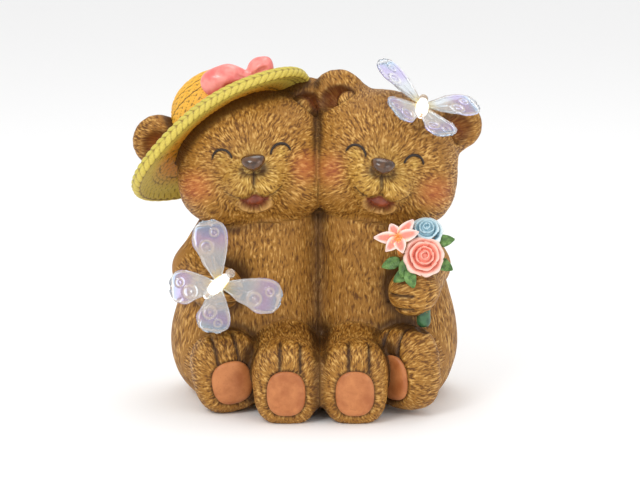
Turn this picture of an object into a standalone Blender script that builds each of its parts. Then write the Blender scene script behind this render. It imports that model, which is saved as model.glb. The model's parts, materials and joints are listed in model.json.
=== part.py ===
"""Two seated resin teddy bears, cheek to cheek, with a straw hat, a bouquet and two light-up butterflies.

Metres, +Z up, the faces towards -Y, the flat underside on z = 0. The bears' free forms are laid out in
shares of the statue's own height, 240 to the whole. The pieces that fit them have sizes of their own.
"""

import math

import bmesh
import bpy
import numpy as np
from mathutils import Matrix, Vector

STATUE_HEIGHT = 0.240
SHARE = STATUE_HEIGHT / 240
FIT_GAP = 0.0003

VOXEL = 1.8 * SHARE
BEARS_TRIANGLES = 4300
FLOWERS_TRIANGLES = 1400

HEAD_CENTRE = (44.0, -8.0, 171.0)
HEAD_ROLLS = {-1: math.radians(6.0), 1: math.radians(-10.0)}
EYE_SPREAD = 19.9
EYE_RADIUS = 6.8
EYE_UP = {-1: 12.0, 1: 9.8}
NOSE_PLACE = {-1: (1.6, 8.0), 1: (-1.6, 5.4)}
MOUTH_PLACE = {-1: (-0.5, -17.3), 1: (1.7, -18.6)}
MOUTH_RADII = (10.4, 13, 7.6)

BRIM_THICKNESS = 0.0044
RIM_THICKNESS = 0.0084
CROWN_RADIUS = 0.0325
CROWN_HEIGHT = 0.037
RIBBON_WIDTH = 0.009
RIBBON_PROUD = 0.0012
BOW_LENGTH = 0.030

PANEL_WIDTH = 0.052
PANEL_HEIGHT = 0.036
PANEL_THICKNESS = 0.005
PANEL_PROUD = 0.0012
PANEL_TILT = math.radians(24)
PANEL_BEVEL = 0.0008
PANEL_HEIGHT_UP = 0.098
FRAME_RIM = 0.005

WING_THICKNESS = 0.0018
FOREWING_LENGTH = 0.044
FOREWING_WIDTH = 0.025
HINDWING_LENGTH = 0.033
HINDWING_WIDTH = 0.024
INSECT_LENGTH = 0.028
INSECT_RADIUS = 0.0046
SEAT_DEPTH = 0.0012

STEM_RADIUS = 0.0048
PINK_ROSE_RADIUS = 0.0125
BLUE_ROSE_RADIUS = 0.0105
LILY_PETAL_LENGTH = 0.0170
LEAF_LENGTH = 0.011
BLADE_HALF_WIDTH = 0.0038
BLADE_HALF_THICKNESS = 0.0013
CASTING_GAP = 0.0009

LINE_RADIUS = 1.15
TOE_LINE_RADIUS = 1.45
TOE_SHIFTS = {0: 0.0, 1: 0.12}
TOE_SPREAD = 0.31
FINGER_LEVELS = (-0.62, -0.02)


def clear_scene():
    for thing in list(bpy.data.objects):
        bpy.data.objects.remove(thing)


# Distance fields. Points are rows of coordinates in shares of the height, and so are all results.

def turn_about_y(angle):
    """Rows of a frame rolled in the picture plane, counter-clockwise as seen from the front."""
    c, s = math.cos(angle), math.sin(angle)
    return np.array([(c, 0.0, s), (0.0, 1.0, 0.0), (-s, 0.0, c)])


def turn_about_z(angle):
    c, s = math.cos(angle), math.sin(angle)
    return np.array([(c, s, 0.0), (-s, c, 0.0), (0.0, 0.0, 1.0)])


def ball(points, centre, radii, frame=None):
    """Near distance to an ellipsoid whose axes are the rows of frame."""
    local = points - np.array(centre)
    if frame is not None:
        local = local @ frame.T
    radii = np.array(radii)
    size = np.linalg.norm(local / radii, axis=1)
    slope = np.linalg.norm(local / radii**2, axis=1)
    return size * (size - 1) / np.maximum(slope, 1e-9)


def cushion(points, centre, radii, frame, power=2.8):
    """Near distance to a squarer ellipsoid."""
    local = (points - np.array(centre)) @ frame.T
    size = (np.abs(local / np.array(radii)) ** power).sum(axis=1) ** (1 / power)
    return (size - 1) * np.linalg.norm(local, axis=1) / np.maximum(size, 1e-9)


def limb(points, start, end, start_radius, end_radius):
    start, end = np.array(start), np.array(end)
    span = end - start
    along = np.clip((points - start) @ span / (span @ span), 0, 1)
    near = start + along[:, None] * span
    return np.linalg.norm(points - near, axis=1) - (start_radius + (end_radius - start_radius) * along)


def tube(points, route, radius):
    """Distance to a bent rod through the points of route."""
    return np.min([limb(points, a, b, radius, radius) for a, b in zip(route[:-1], route[1:])], axis=0)


def melt(a, b, radius):
    """Union with a fillet."""
    share = np.clip(0.5 + 0.5 * (b - a) / radius, 0, 1)
    return b + (a - b) * share - radius * share * (1 - share)


def carve(a, cutter, radius):
    """Cut with a rounded edge."""
    return -melt(-a, cutter, radius)


def arc(centre, radius, first, last, count=9):
    """Points on an arc in the picture plane, angles counter-clockwise from +X."""
    angles = np.radians(np.linspace(first, last, count))
    return [(centre[0] + radius * math.cos(t), centre[1], centre[2] + radius * math.sin(t)) for t in angles]


# The two bears. Side is -1 for the one in the hat and 1 for the one with the flowers.

TORSOS = {
    -1: [
        ((-44, 6, 58), (52, 43, 62)),
        ((-38, 2, 106), (42, 37, 48)),
        ((-70, 8, 38), (34, 42, 42)),
        ((-27, 0, 134), (31, 30, 24)),
    ],
    1: [
        ((43, 6, 58), (51, 43, 62)),
        ((38, 2, 106), (41, 37, 48)),
        ((64, 8, 36), (34, 42, 40)),
        ((27, 0, 134), (31, 30, 24)),
    ],
}
SEATS = {-1: ((-37, 5, 22), (52, 44, 28)), 1: ((37, 5, 22), (52, 44, 28))}
ARMS = {
    -1: [((-66, 2, 121), (-83, -12, 94), 17, 17.5), ((-83, -12, 94), (-73, -46, 86), 17.5, 13.5)],
    1: [((63, 2, 121), (76, -8, 95), 16, 15.5), ((76, -8, 95), (70, -44, 87), 15.5, 14)],
}
PAWS = {-1: ((-67, -52, 89), (16, 13, 15)), 1: ((64.5, -51, 86), (16.5, 14, 17))}
LEGS = {
    -1: [((-70, -4, 34), (-64, -31, 30), 30, 22), ((-28, -6, 40), (-21, -58, 31), 27, 23)],
    1: [((66, -4, 34), (58, -32, 33), 28, 22), ((30, -6, 40), (24, -58, 31), 26, 23)],
}
# Each foot: centre of the sole, half width and half height, how far the sole turns and how far it rolls.
FEET = {
    -1: [((-59.0, -60, 28), (24, 28), 14, 10), ((-21.5, -85, 27), (22.5, 29), 0, 0)],
    1: [((49.5, -60, 32), (23, 29), -46, 6), ((25.0, -85, 27), (22.5, 29), 0, 0)],
}
FOOT_DEPTH = 17
PAD_DROP = -4.5
PAD_SHARE = (0.60, 0.56)
EARS = {
    -1: [((-110.5, 6, 180.5), 18.5), ((-7, 8, 207), 18)],
    1: [((14, 5, 212), 19), ((96.5, 5, 192), 17.5)],
}
TAILS = {-1: ((-50, 52, 18), (12, 12, 12)), 1: ((48, 52, 18), (12, 12, 12))}


def panel_frame():
    """Across, out of the back and up the panel."""
    return turn_about_x(-PANEL_TILT)


def panel_boss():
    """The cushion of resin between the two backs that carries the panel."""
    radii = np.array((PANEL_WIDTH / 2 + FRAME_RIM * 1.8, 0.014, PANEL_HEIGHT / 2 + FRAME_RIM * 1.8)) / SHARE
    return (0, 34, PANEL_HEIGHT_UP / SHARE), radii, panel_frame()


def head_frame(side):
    return turn_about_y(HEAD_ROLLS[side])


def head_point(side, across, out, up):
    """A place on the head, from the head's centre along its own axes; out is towards the viewer."""
    x, y, z = HEAD_CENTRE
    return np.array((side * x, y, z)) + np.array((across, -out, up)) @ head_frame(side)


def head_field(points, side):
    frame = head_frame(side)
    skull = ball(points, head_point(side, 0, 0, 1), (53, 45, 46.5), frame)
    for across in (-26, 26):
        cheek = ball(points, head_point(side, across, 9, -16), (27, 33, 25), frame)
        skull = melt(skull, cheek, 10)
    muzzle = ball(points, head_point(side, 0, 38, -7), (23, 20, 17.5), frame)
    skull = melt(skull, muzzle, 9)
    across, up = MOUTH_PLACE[side]
    chin = ball(points, head_point(side, across, 37, up - 3.5), (14.5, 18, 9.5), frame)
    return melt(skull, chin, 5)


def puffs_field(points, side):
    """The two cushions of the upper lip, which overhang the mouth."""
    across, up = MOUTH_PLACE[side]
    places = [head_point(side, across * 0.5 + way * 8.8, 47.5, up + 9.5) for way in (-1, 1)]
    return np.minimum(*[ball(points, place, (11.6, 12.5, 10.6), head_frame(side)) for place in places])


def mouth_field(points, side):
    across, up = MOUTH_PLACE[side]
    return ball(points, head_point(side, across, 57, up + 0.4), MOUTH_RADII, head_frame(side))


def face_field(points, side, skull):
    """The head with its open mouth, tongue, upper lip and nose."""
    frame = head_frame(side)
    skull = carve(skull, mouth_field(points, side), 1.2)
    across, up = MOUTH_PLACE[side]
    tongue = ball(points, head_point(side, across, 42.5, up - 1.4), (8.6, 10, 6.0), frame)
    skull = melt(skull, tongue, 1.0)
    skull = melt(skull, puffs_field(points, side), 3.0)
    across, up = NOSE_PLACE[side]
    nose = ball(points, head_point(side, across, 59.5, up), (7.7, 6.8, 5.2), frame)
    return melt(skull, nose, 0.8)


def foot_parts(side, index):
    (x, y, z), (half_width, half_height), turn, roll = FEET[side][index]
    frame = turn_about_y(math.radians(roll)) @ turn_about_z(math.radians(turn))
    centre = np.array((x, y, z)) + FOOT_DEPTH * frame[1]
    return centre, (half_width, FOOT_DEPTH, half_height), frame


def foot_field(points, side, index):
    return cushion(points, *foot_parts(side, index))


def ear_field(points, side, index):
    centre, radius = EARS[side][index]
    frame = head_frame(side)
    return ball(points, centre, (radius, 10.5, radius), frame)


def ear_hollow(points, side, index):
    centre, radius = EARS[side][index]
    place = np.array(centre) + (0, -12.5, -0.5)
    return ball(points, place, (radius * 0.60, 7.5, radius * 0.46), head_frame(side))


def bear_field(points, side):
    body = None
    for centre, radii in TORSOS[side]:
        mass = ball(points, centre, radii)
        body = mass if body is None else melt(body, mass, 12)
    body = melt(body, cushion(points, *SEATS[side], np.eye(3)), 8)
    for index, (start, end, start_radius, end_radius) in enumerate(LEGS[side]):
        leg = limb(points, start, end, start_radius, end_radius)
        leg = melt(leg, foot_field(points, side, index), 6)
        body = melt(body, leg, 4)
    arm = None
    for start, end, start_radius, end_radius in ARMS[side]:
        mass = limb(points, start, end, start_radius, end_radius)
        arm = mass if arm is None else melt(arm, mass, 5)
    centre, radii = PAWS[side]
    arm = melt(arm, ball(points, centre, radii), 5)
    body = melt(body, arm, 4)
    head = head_field(points, side)
    for index in (0, 1):
        head = melt(head, ear_field(points, side, index), 11)
    for index in (0, 1):
        head = carve(head, ear_hollow(points, side, index), 5.5)
    head = face_field(points, side, head)
    return melt(body, head, 4)


# The straw hat, in its own frame: across, back and up the hat's axis.

HAT_CENTRE = (-65.4, 4, 193.4)
HAT_ROLL = math.radians(36.6)
HAT_PITCH = math.radians(28)


def turn_about_x(angle):
    """Rows of a frame leant back."""
    c, s = math.cos(angle), math.sin(angle)
    return np.array([(1.0, 0.0, 0.0), (0.0, c, -s), (0.0, s, c)])


HAT_FRAME = turn_about_x(HAT_PITCH) @ turn_about_y(HAT_ROLL)
BRIM_REACH = {"left": 79, "right": 67, "front": 54, "back": 57}
BRIM_DROP = {"left": 6.0, "right": 7.0, "front": 2.0, "back": 28}


def by_side(table, angle):
    """A smooth value round the hat from the ones at its four sides."""
    across, back = np.cos(angle), np.sin(angle)
    sides = (table["right"] + table["left"]) / 2 + across * (table["right"] - table["left"]) / 2
    ends = (table["front"] + table["back"]) / 2 + back * (table["back"] - table["front"]) / 2
    return sides * across**2 + ends * back**2


def brim_height(across, back):
    """The middle of the brim: it leaves the crown level and droops towards its rim, with a gentle wave."""
    angle = np.arctan2(back, across)
    radius = np.hypot(across, back)
    crown = CROWN_RADIUS / SHARE
    reach = np.clip((radius - crown + 6) / (by_side(BRIM_REACH, angle) - crown + 6), 0, 1.3)
    return -by_side(BRIM_DROP, angle) * reach**1.6


def brim_half(across, back):
    """Half the brim's thickness, which swells into a rolled rim."""
    angle = np.arctan2(back, across)
    inward = by_side(BRIM_REACH, angle) - np.hypot(across, back)
    swell = np.clip(1 - inward / 11, 0, 1)
    thin, thick = BRIM_THICKNESS / SHARE / 2, RIM_THICKNESS / SHARE / 2
    return thin + (thick - thin) * swell * swell * (3 - 2 * swell)


def hat_local(points):
    return (points - np.array(HAT_CENTRE)) @ HAT_FRAME.T


def hat_field(points):
    across, back, up = hat_local(points).T
    angle = np.arctan2(back, across)
    radius = np.hypot(across, back)
    half = brim_half(across, back)
    edge = half * 0.96
    slab = np.abs(up - brim_height(across, back)) * 0.9 - half + edge
    rim = radius - by_side(BRIM_REACH, angle) + edge
    brim = np.hypot(np.maximum(slab, 0), np.maximum(rim, 0)) + np.minimum(np.maximum(slab, rim), 0) - edge
    crown_radius, crown_height = CROWN_RADIUS / SHARE, CROWN_HEIGHT / SHARE
    local = np.stack([across, back, up], axis=1)
    dome = cushion(local, (0, 0, 0), (crown_radius, crown_radius, crown_height), np.eye(3), 2.6)
    ring = np.abs(radius - crown_radius * 0.97)
    band_half = RIBBON_WIDTH / SHARE / 2
    band = np.hypot(np.maximum(ring - 0.5, 0), np.maximum(np.abs(up - band_half) - band_half + 1, 0))
    crown = np.minimum(dome, band - RIBBON_PROUD / SHARE)
    return melt(brim, crown, 2)


BOW_KNOT = (-48.3, -23, 229)


def bow_parts():
    """For each loop of the bow: its middle, its half sizes, its frame, and the fold inside it."""
    length = BOW_LENGTH / SHARE
    left_turn, right_turn = turn_about_y(math.radians(12)), turn_about_y(math.radians(28))
    left = np.array(BOW_KNOT) + (-length * 0.52, -1, -1.6)
    right = np.array(BOW_KNOT) + (length * 0.30, 2, 6.5)
    return [
        (left, (length * 0.55, 8.5, 11.0), left_turn, left + (5, -9.5, -4), (length * 0.24, 4.2, 3.4)),
        (right, (length * 0.32, 7.5, 8.0), right_turn, right + (1.5, -8.5, -1), (length * 0.17, 4, 3.4)),
    ]


def bow_field(points):
    """Two loops and a knot on the front of the crown."""
    bow = ball(points, BOW_KNOT, (5, 6, 5.5))
    for middle, radii, frame, fold, fold_radii in bow_parts():
        loop = carve(ball(points, middle, radii, frame), ball(points, fold, fold_radii, frame), 1.5)
        bow = melt(bow, loop, 1.5)
    return bow


def side_by_side(points):
    """Both bears, cheek to cheek with a crease and body to body with a soft valley."""
    valley = 2.0 + 9.0 * np.clip((136 - points[:, 2]) / 12, 0, 1)
    return melt(bear_field(points, -1), bear_field(points, 1), valley)


def bears_field(points):
    both = side_by_side(points)
    hat = hat_field(points)
    both = np.minimum(both, hat)
    both = np.minimum(both, bow_field(points))
    for side in (-1, 1):
        both = melt(both, ball(points, *TAILS[side]), 4)
    return melt(both, cushion(points, *panel_boss()), 4)


# Meshes from the fields.

def add_ball(bm, centre, radii, frame=None):
    made = bmesh.ops.create_icosphere(bm, subdivisions=3, radius=1.0)
    turned = Matrix(frame.T.tolist()).to_4x4() if frame is not None else Matrix()
    place = Matrix.Translation(Vector(centre)) @ turned @ Matrix.Diagonal((*radii, 1.0))
    bmesh.ops.transform(bm, matrix=Matrix.Scale(SHARE, 4) @ place, verts=made["verts"])


def add_limb(bm, start, end, start_radius, end_radius):
    steps = 6
    for step in range(steps + 1):
        share = step / steps
        centre = np.array(start) * (1 - share) + np.array(end) * share
        radius = start_radius * (1 - share) + end_radius * share
        add_ball(bm, centre, (radius, radius, radius))


def add_brim(bm, rings=7, sectors=64):
    """A closed drooping disc, thick enough for the remesh to keep."""
    layers = {}
    for level in (-1, 1):
        loops = []
        for ring in range(rings + 1):
            loop = []
            for sector in range(sectors):
                angle = 2 * math.pi * sector / sectors
                reach = by_side(BRIM_REACH, np.array(angle)) * max(ring, 0.05) / rings
                across, back = reach * math.cos(angle), reach * math.sin(angle)
                up = float(brim_height(across, back) + level * brim_half(across, back))
                place = np.array(HAT_CENTRE) + np.array((across, back, up)) @ HAT_FRAME
                loop.append(bm.verts.new(Vector(place) * SHARE))
            loops.append(loop)
        layers[level] = loops
        bm.faces.new(loops[0] if level > 0 else loops[0][::-1])
        for inner, outer in zip(loops[:-1], loops[1:]):
            join_loops(bm, inner, outer, level > 0)
    join_loops(bm, layers[1][-1], layers[-1][-1], True)


def join_loops(bm, inner, outer, outward):
    count = len(inner)
    for index in range(count):
        after = (index + 1) % count
        corners = [inner[index], outer[index], outer[after], inner[after]]
        bm.faces.new(corners if outward else corners[::-1])


def new_object(name, bm):
    mesh = bpy.data.meshes.new(name)
    bm.to_mesh(mesh)
    bm.free()
    thing = bpy.data.objects.new(name, mesh)
    bpy.context.scene.collection.objects.link(thing)
    return thing


def rough_bears():
    """The same masses as overlapping primitives, for the remesh to join."""
    bm = bmesh.new()
    for side in (-1, 1):
        for centre, radii in TORSOS[side]:
            add_ball(bm, centre, radii)
        for start, end, start_radius, end_radius in LEGS[side] + ARMS[side]:
            add_limb(bm, start, end, start_radius, end_radius)
        add_ball(bm, *PAWS[side])
        add_ball(bm, head_point(side, 0, 0, 1), (53, 45, 46.5), head_frame(side))
        for across in (-26, 26):
            add_ball(bm, head_point(side, across, 9, -16), (27, 33, 25), head_frame(side))
        add_ball(bm, head_point(side, 0, 38, -7), (23, 22, 17.5), head_frame(side))
        across, up = NOSE_PLACE[side]
        add_ball(bm, head_point(side, across, 59.5, up), (7.7, 6.8, 5.2), head_frame(side))
        add_ball(bm, *TAILS[side])
        add_ball(bm, *SEATS[side])
        for index in (0, 1):
            add_ball(bm, *foot_parts(side, index))
            centre, radius = EARS[side][index]
            add_ball(bm, centre, (radius, 10.5, radius), head_frame(side))
    add_ball(bm, *panel_boss())
    add_brim(bm)
    crown_radius, crown_height = CROWN_RADIUS / SHARE, CROWN_HEIGHT / SHARE
    add_ball(bm, HAT_CENTRE, (crown_radius, crown_radius, crown_height), HAT_FRAME)
    for middle, loop_radii, frame, _, _ in bow_parts():
        add_ball(bm, middle, loop_radii, frame)
    return new_object("bears", bm)


def apply_modifiers(thing):
    graph = bpy.context.evaluated_depsgraph_get()
    mesh = bpy.data.meshes.new_from_object(thing.evaluated_get(graph))
    thing.modifiers.clear()
    thing.data = mesh


def remesh(thing, voxel):
    modifier = thing.modifiers.new("even", "REMESH")
    modifier.mode = "VOXEL"
    modifier.voxel_size = voxel
    apply_modifiers(thing)


def corners_of(mesh):
    flat = np.empty(len(mesh.vertices) * 3, np.float32)
    mesh.vertices.foreach_get("co", flat)
    return flat.reshape(-1, 3).astype(float)


def settle(thing, field, steps=5, reach=2.5):
    """Moves each vertex along the field's slope until it lies on the surface."""
    points = corners_of(thing.data) / SHARE
    nudge = 0.05
    for _ in range(steps):
        here = field(points)
        slope = np.empty_like(points)
        for axis in range(3):
            moved = points.copy()
            moved[:, axis] += nudge
            slope[:, axis] = (field(moved) - here) / nudge
        steep = np.maximum((slope**2).sum(axis=1), 0.05)
        step = np.clip(here / steep, -reach, reach)
        points -= slope * step[:, None]
    thing.data.vertices.foreach_set("co", (points * SHARE).astype(np.float32).ravel())
    thing.data.update()


def reduce_to(thing, triangles):
    count = sum(len(face.vertices) - 2 for face in thing.data.polygons)
    modifier = thing.modifiers.new("fewer faces", "DECIMATE")
    modifier.ratio = min(1.0, triangles / count)
    modifier.use_collapse_triangulate = True
    apply_modifiers(thing)


def cut_flat_base(thing):
    bm = bmesh.new()
    bm.from_mesh(thing.data)
    geometry = bm.verts[:] + bm.edges[:] + bm.faces[:]
    cut = bmesh.ops.bisect_plane(bm, geom=geometry, plane_co=(0, 0, 0), plane_no=(0, 0, -1), clear_outer=True)
    rim = [item for item in cut["geom_cut"] if isinstance(item, bmesh.types.BMEdge)]
    bmesh.ops.edgeloop_fill(bm, edges=rim)
    bmesh.ops.triangulate(bm, faces=bm.faces[:])
    bm.to_mesh(thing.data)
    bm.free()


def paint(thing, name, colour, roughness, metallic=0.0):
    material = bpy.data.materials.new(name)
    material.use_nodes = True
    shader = material.node_tree.nodes["Principled BSDF"]
    shader.inputs["Base Color"].default_value = (*colour, 1.0)
    shader.inputs["Roughness"].default_value = roughness
    shader.inputs["Metallic"].default_value = metallic
    thing.data.materials.clear()
    thing.data.materials.append(material)
    return shader


# Carved lines. Each is a bar of diamond section that follows the surface and is cut out of it.

def front_of(across, up, field, first=-110.0, last=20.0, step=0.4):
    """How far forward the surface lies at each place in the picture plane."""
    depths = np.arange(first, last, step)
    grid = np.array([(x, y, z) for x, z in zip(across, up) for y in depths])
    inside = field(grid).reshape(len(across), len(depths)) < 0
    return depths[inside.argmax(axis=1)]


def add_line(bm, route, radius, out=(0, -1, 0), closed=False):
    route = [Vector(place) for place in route]
    facing = Vector(out)
    count = len(route)
    rings = []
    for index, place in enumerate(route):
        before = route[index - 1] if closed or index else place
        after = route[(index + 1) % count] if closed or index < count - 1 else place
        ahead = (after - before).normalized()
        outward = (facing - ahead * ahead.dot(facing)).normalized()
        beside = ahead.cross(outward)
        corners = [outward, beside, -outward, -beside]
        rings.append([bm.verts.new((place + corner * radius) * SHARE) for corner in corners])
    pairs = list(zip(rings[:-1], rings[1:]))
    if closed:
        pairs.append((rings[-1], rings[0]))
    else:
        bm.faces.new(rings[0][::-1])
        bm.faces.new(rings[-1])
    for first, second in pairs:
        for corner in range(4):
            after = (corner + 1) % 4
            bm.faces.new([first[corner], first[after], second[after], second[corner]])


def face_routes(side):
    """Closed eyes, the line under the nose and the ends of the smile, in the head's own frame."""
    (nose, nose_up), (mouth, mouth_up) = NOSE_PLACE[side], MOUTH_PLACE[side]
    shares = np.linspace(0, 1, 7)
    across = nose + (mouth * 0.8 - nose) * shares
    up = nose_up - 4 + (mouth_up + 8 - nose_up) * shares
    routes = [list(zip(across, up))]
    for way in (-1, 1):
        centre = (way * EYE_SPREAD, 0, EYE_UP[side] - 3.8)
        routes.append([(x, z) for x, _, z in arc(centre, EYE_RADIUS, 165, 15, 7)])
        routes.append(list(zip(mouth + way * (10.5 + 8.5 * shares), mouth_up + 0.4 + 4.6 * shares**1.5)))
    return routes


def pad_ring(side, index, count=18):
    """The outline of a foot's pad in the sole's own frame, a rounded square."""
    _, (half_width, _, half_height), _ = foot_parts(side, index)
    angles = np.linspace(0, 2 * math.pi, count, endpoint=False)
    across, up = np.cos(angles), np.sin(angles)
    reach = (np.abs(across) ** 2.5 + np.abs(up) ** 2.5) ** (-1 / 2.5)
    return across * reach * half_width * PAD_SHARE[0], PAD_DROP + up * reach * half_height * PAD_SHARE[1]


def lay_on(points, inward, field, steps=40):
    """Where points first meet the surface when each moves along its own inward direction."""
    points = points.copy()
    for _ in range(steps):
        points += inward * (field(points) * 0.85)[:, None]
    return points


def toe_shares(index):
    """Where a foot's two toe lines lie, in half widths."""
    return [TOE_SHIFTS[index] + way * TOE_SPREAD for way in (-1, 1)]


def toe_route(side, index, share, count=8):
    """One toe line, from above the pad over the toes, with its directions into the foot."""
    centre, (half_width, _, _), frame = foot_parts(side, index)
    steep = np.radians(np.linspace(20, 78, count))
    inward = np.stack([0 * steep, np.cos(steep), -np.sin(steep)], axis=1) @ frame
    aims = np.array(centre) + np.array((share * half_width, 2, 4)) @ frame
    return lay_on(aims - inward * 32, inward, lambda points: foot_field(points, side, index)), inward


def add_face_lines(bm, side):
    for route in face_routes(side):
        places = [head_point(side, across, 0, up) for across, up in route]
        across, up = [place[0] for place in places], [place[2] for place in places]
        depths = front_of(across, up, lambda points: bear_field(points, side))
        add_line(bm, list(zip(across, depths, up)), LINE_RADIUS)


def add_pad_line(bm, side, index):
    centre, _, frame = foot_parts(side, index)
    across, up = pad_ring(side, index)
    flat = np.array(centre) + np.stack([across, 0 * up - 24, up], axis=1) @ frame
    inward = np.tile(frame[1], (len(flat), 1))
    ring = lay_on(flat, inward, lambda points: foot_field(points, side, index))
    add_line(bm, ring, LINE_RADIUS, out=-frame[1], closed=True)

def add_toe_lines(bm, side, index):
    for share in toe_shares(index):
        route, inward = toe_route(side, index, share)
        add_line(bm, route, TOE_LINE_RADIUS, out=-inward.mean(axis=0))


def add_finger_lines(bm, side):
    (x, _, z), (half_width, _, half_height) = PAWS[side]
    for up in FINGER_LEVELS:
        across = x - side * half_width * np.linspace(0.9, 0.0, 6)
        level = np.full(6, z + half_height * up)
        depths = front_of(across, level, lambda points: bear_field(points, side))
        add_line(bm, list(zip(across, depths, level)), TOE_LINE_RADIUS)


def carved_lines():
    """Three cutters, so that no cutter crosses itself."""
    faces, pads, toes = bmesh.new(), bmesh.new(), bmesh.new()
    for side in (-1, 1):
        add_face_lines(faces, side)
        add_finger_lines(toes, side)
        for index in (0, 1):
            add_pad_line(pads, side, index)
            add_toe_lines(toes, side, index)
    cutters = []
    for name, bm in (("face_lines", faces), ("pad_lines", pads), ("toe_lines", toes)):
        bmesh.ops.recalc_face_normals(bm, faces=bm.faces[:])
        cutters.append(new_object(name, bm))
    return cutters


def cut(thing, cutter):
    """Takes the cutter's shape out of a piece, and leaves the cutter out of the render."""
    modifier = thing.modifiers.new(cutter.name, "BOOLEAN")
    modifier.operation = "DIFFERENCE"
    modifier.object = cutter
    cutter.hide_render = True
    cutter.display_type = "WIRE"


def unite(thing, others):
    for other in others:
        modifier = thing.modifiers.new(other.name, "BOOLEAN")
        modifier.operation = "UNION"
        modifier.object = other
    apply_modifiers(thing)
    for other in others:
        bpy.data.objects.remove(other)


# The butterflies. Each lies in its own frame: +Y towards its head, +Z out of its back.

WING_ANGLES = {"fore": 57, "hind": 140}
WING_LIFT = math.radians(9)


def wing_belly(share):
    """How wide a wing is along its length: narrow at the root, broad and rounded at the tip."""
    return share**0.8 * math.sqrt(max(1 - share**5, 0)) / 0.70


def wing_outline(length, width, count=9):
    """A rounded wing from its root at the origin along +X, a little scalloped on its trailing edge."""
    leading, trailing = [], []
    for index in range(1, count):
        share = (index / count) ** 0.85
        scallop = 1 - 0.08 * math.sin(3 * math.pi * share) ** 2
        leading.append((length * share, width * 0.47 * wing_belly(share)))
        trailing.append((length * share, -width * 0.53 * wing_belly(share) * scallop))
    return [(0, 0.0012)] + leading + [(length, 0.0016), (length, -0.0016)] + trailing[::-1] + [(0, -0.0012)]


def make_wing(name, pair, side):
    length, width = {
        "fore": (FOREWING_LENGTH, FOREWING_WIDTH),
        "hind": (HINDWING_LENGTH, HINDWING_WIDTH),
    }[pair]
    bm = bmesh.new()
    angle = math.radians(90 - WING_ANGLES[pair])
    for level in (-WING_THICKNESS / 2, WING_THICKNESS / 2):
        loop = []
        for along, across in wing_outline(length, width):
            loop.append(bm.verts.new((along, across, level)))
        bm.faces.new(loop)
    lower, upper = bm.faces
    for index, edge in enumerate(lower.verts):
        pair_of = [edge, lower.verts[(index + 1) % len(lower.verts)]]
        partner = [upper.verts[(index + 1) % len(upper.verts)], upper.verts[index]]
        bm.faces.new(pair_of + partner)
    bmesh.ops.recalc_face_normals(bm, faces=bm.faces[:])
    drop = -0.0006 if pair == "hind" else 0.0006
    mirror = Matrix.Diagonal((side, 1, 1, 1))
    place = mirror @ Matrix.Translation((0, 0, drop)) @ Matrix.Rotation(-WING_LIFT, 4, "Y")
    bmesh.ops.transform(bm, matrix=place @ Matrix.Rotation(angle, 4, "Z"), verts=bm.verts)
    bmesh.ops.recalc_face_normals(bm, faces=bm.faces[:])
    return new_object(name, bm)


def insect_body(name, grow=0.0):
    """Head, thorax and tail of one butterfly."""
    bm = bmesh.new()
    radius, half = INSECT_RADIUS + grow, INSECT_LENGTH / 2 + grow
    made = bmesh.ops.create_uvsphere(bm, u_segments=12, v_segments=10, radius=1.0)
    shape = Matrix.Diagonal((radius, half * 0.86, radius, 1.0)) @ Matrix.Rotation(math.pi / 2, 4, "X")
    bmesh.ops.transform(bm, matrix=Matrix.Translation((0, -half * 0.14, 0)) @ shape, verts=made["verts"])
    body = new_object(name, bm)
    bm = bmesh.new()
    made = bmesh.ops.create_uvsphere(bm, u_segments=10, v_segments=8, radius=INSECT_RADIUS * 0.74 + grow)
    bmesh.ops.translate(bm, vec=(0, half - INSECT_RADIUS * 0.74, 0), verts=made["verts"])
    unite(body, [new_object("insect_head", bm)])
    return body


def place_matrix(centre, frame):
    rows = Matrix(frame.T.tolist()).to_4x4()
    return Matrix.Translation(Vector(centre) * SHARE) @ rows


def make_butterfly(name, place):
    insect = insect_body(name)
    wings = []
    for pair in ("fore", "hind"):
        for side in (-1, 1):
            wings.append(make_wing(f"{pair}wing_{side}", pair, side))
    unite(insect, wings)
    insect.data.transform(place)
    shader = paint(insect, "clear plastic", (0.9, 0.93, 1.0), 0.08)
    shader.inputs["Transmission Weight"].default_value = 0.9
    return insect


def seat_in(bears, name, place):
    """The shallow seat in the resin that a butterfly's body is glued into."""
    cutter = insect_body(name, FIT_GAP)
    cutter.data.transform(place)
    cut(bears, cutter)


def surface_along(start, direction, field, reach=60.0, step=0.2):
    """The first place on the surface, going from start against a direction."""
    travel = np.arange(0, reach, step)
    line = np.array(start) - travel[:, None] * np.array(direction)
    return line[(field(line) < 0).argmax()]


def insect_place(start, frame):
    """Sits a butterfly's body in the surface below its start."""
    place = surface_along(np.array(start) + 20 * frame[2], frame[2], bears_field)
    lift = (INSECT_RADIUS - SEAT_DEPTH) / SHARE
    return place_matrix(place + lift * frame[2], frame)


def paw_insect_frame():
    """It faces the viewer, its head to the upper right."""
    heading, lean = math.radians(-47), math.radians(78)
    flat = turn_about_z(heading)
    c, s = math.cos(lean), math.sin(lean)
    stand = np.array([(1.0, 0.0, 0.0), (0.0, c, s), (0.0, -s, c)])
    return flat @ stand


def head_insect_frame():
    """It sits across the head, tipped to the viewer and rolled outward."""
    roll, lean, turn = math.radians(-27.3), math.radians(-21.4), math.radians(-7.3)
    return turn_about_y(roll) @ turn_about_x(lean) @ turn_about_z(turn)


PAW_INSECT_START = (-67, -62, 94)
HEAD_INSECT_START = (69.5, -26, 207)


# The bouquet, laid out from the middle of the pink rose.

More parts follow.
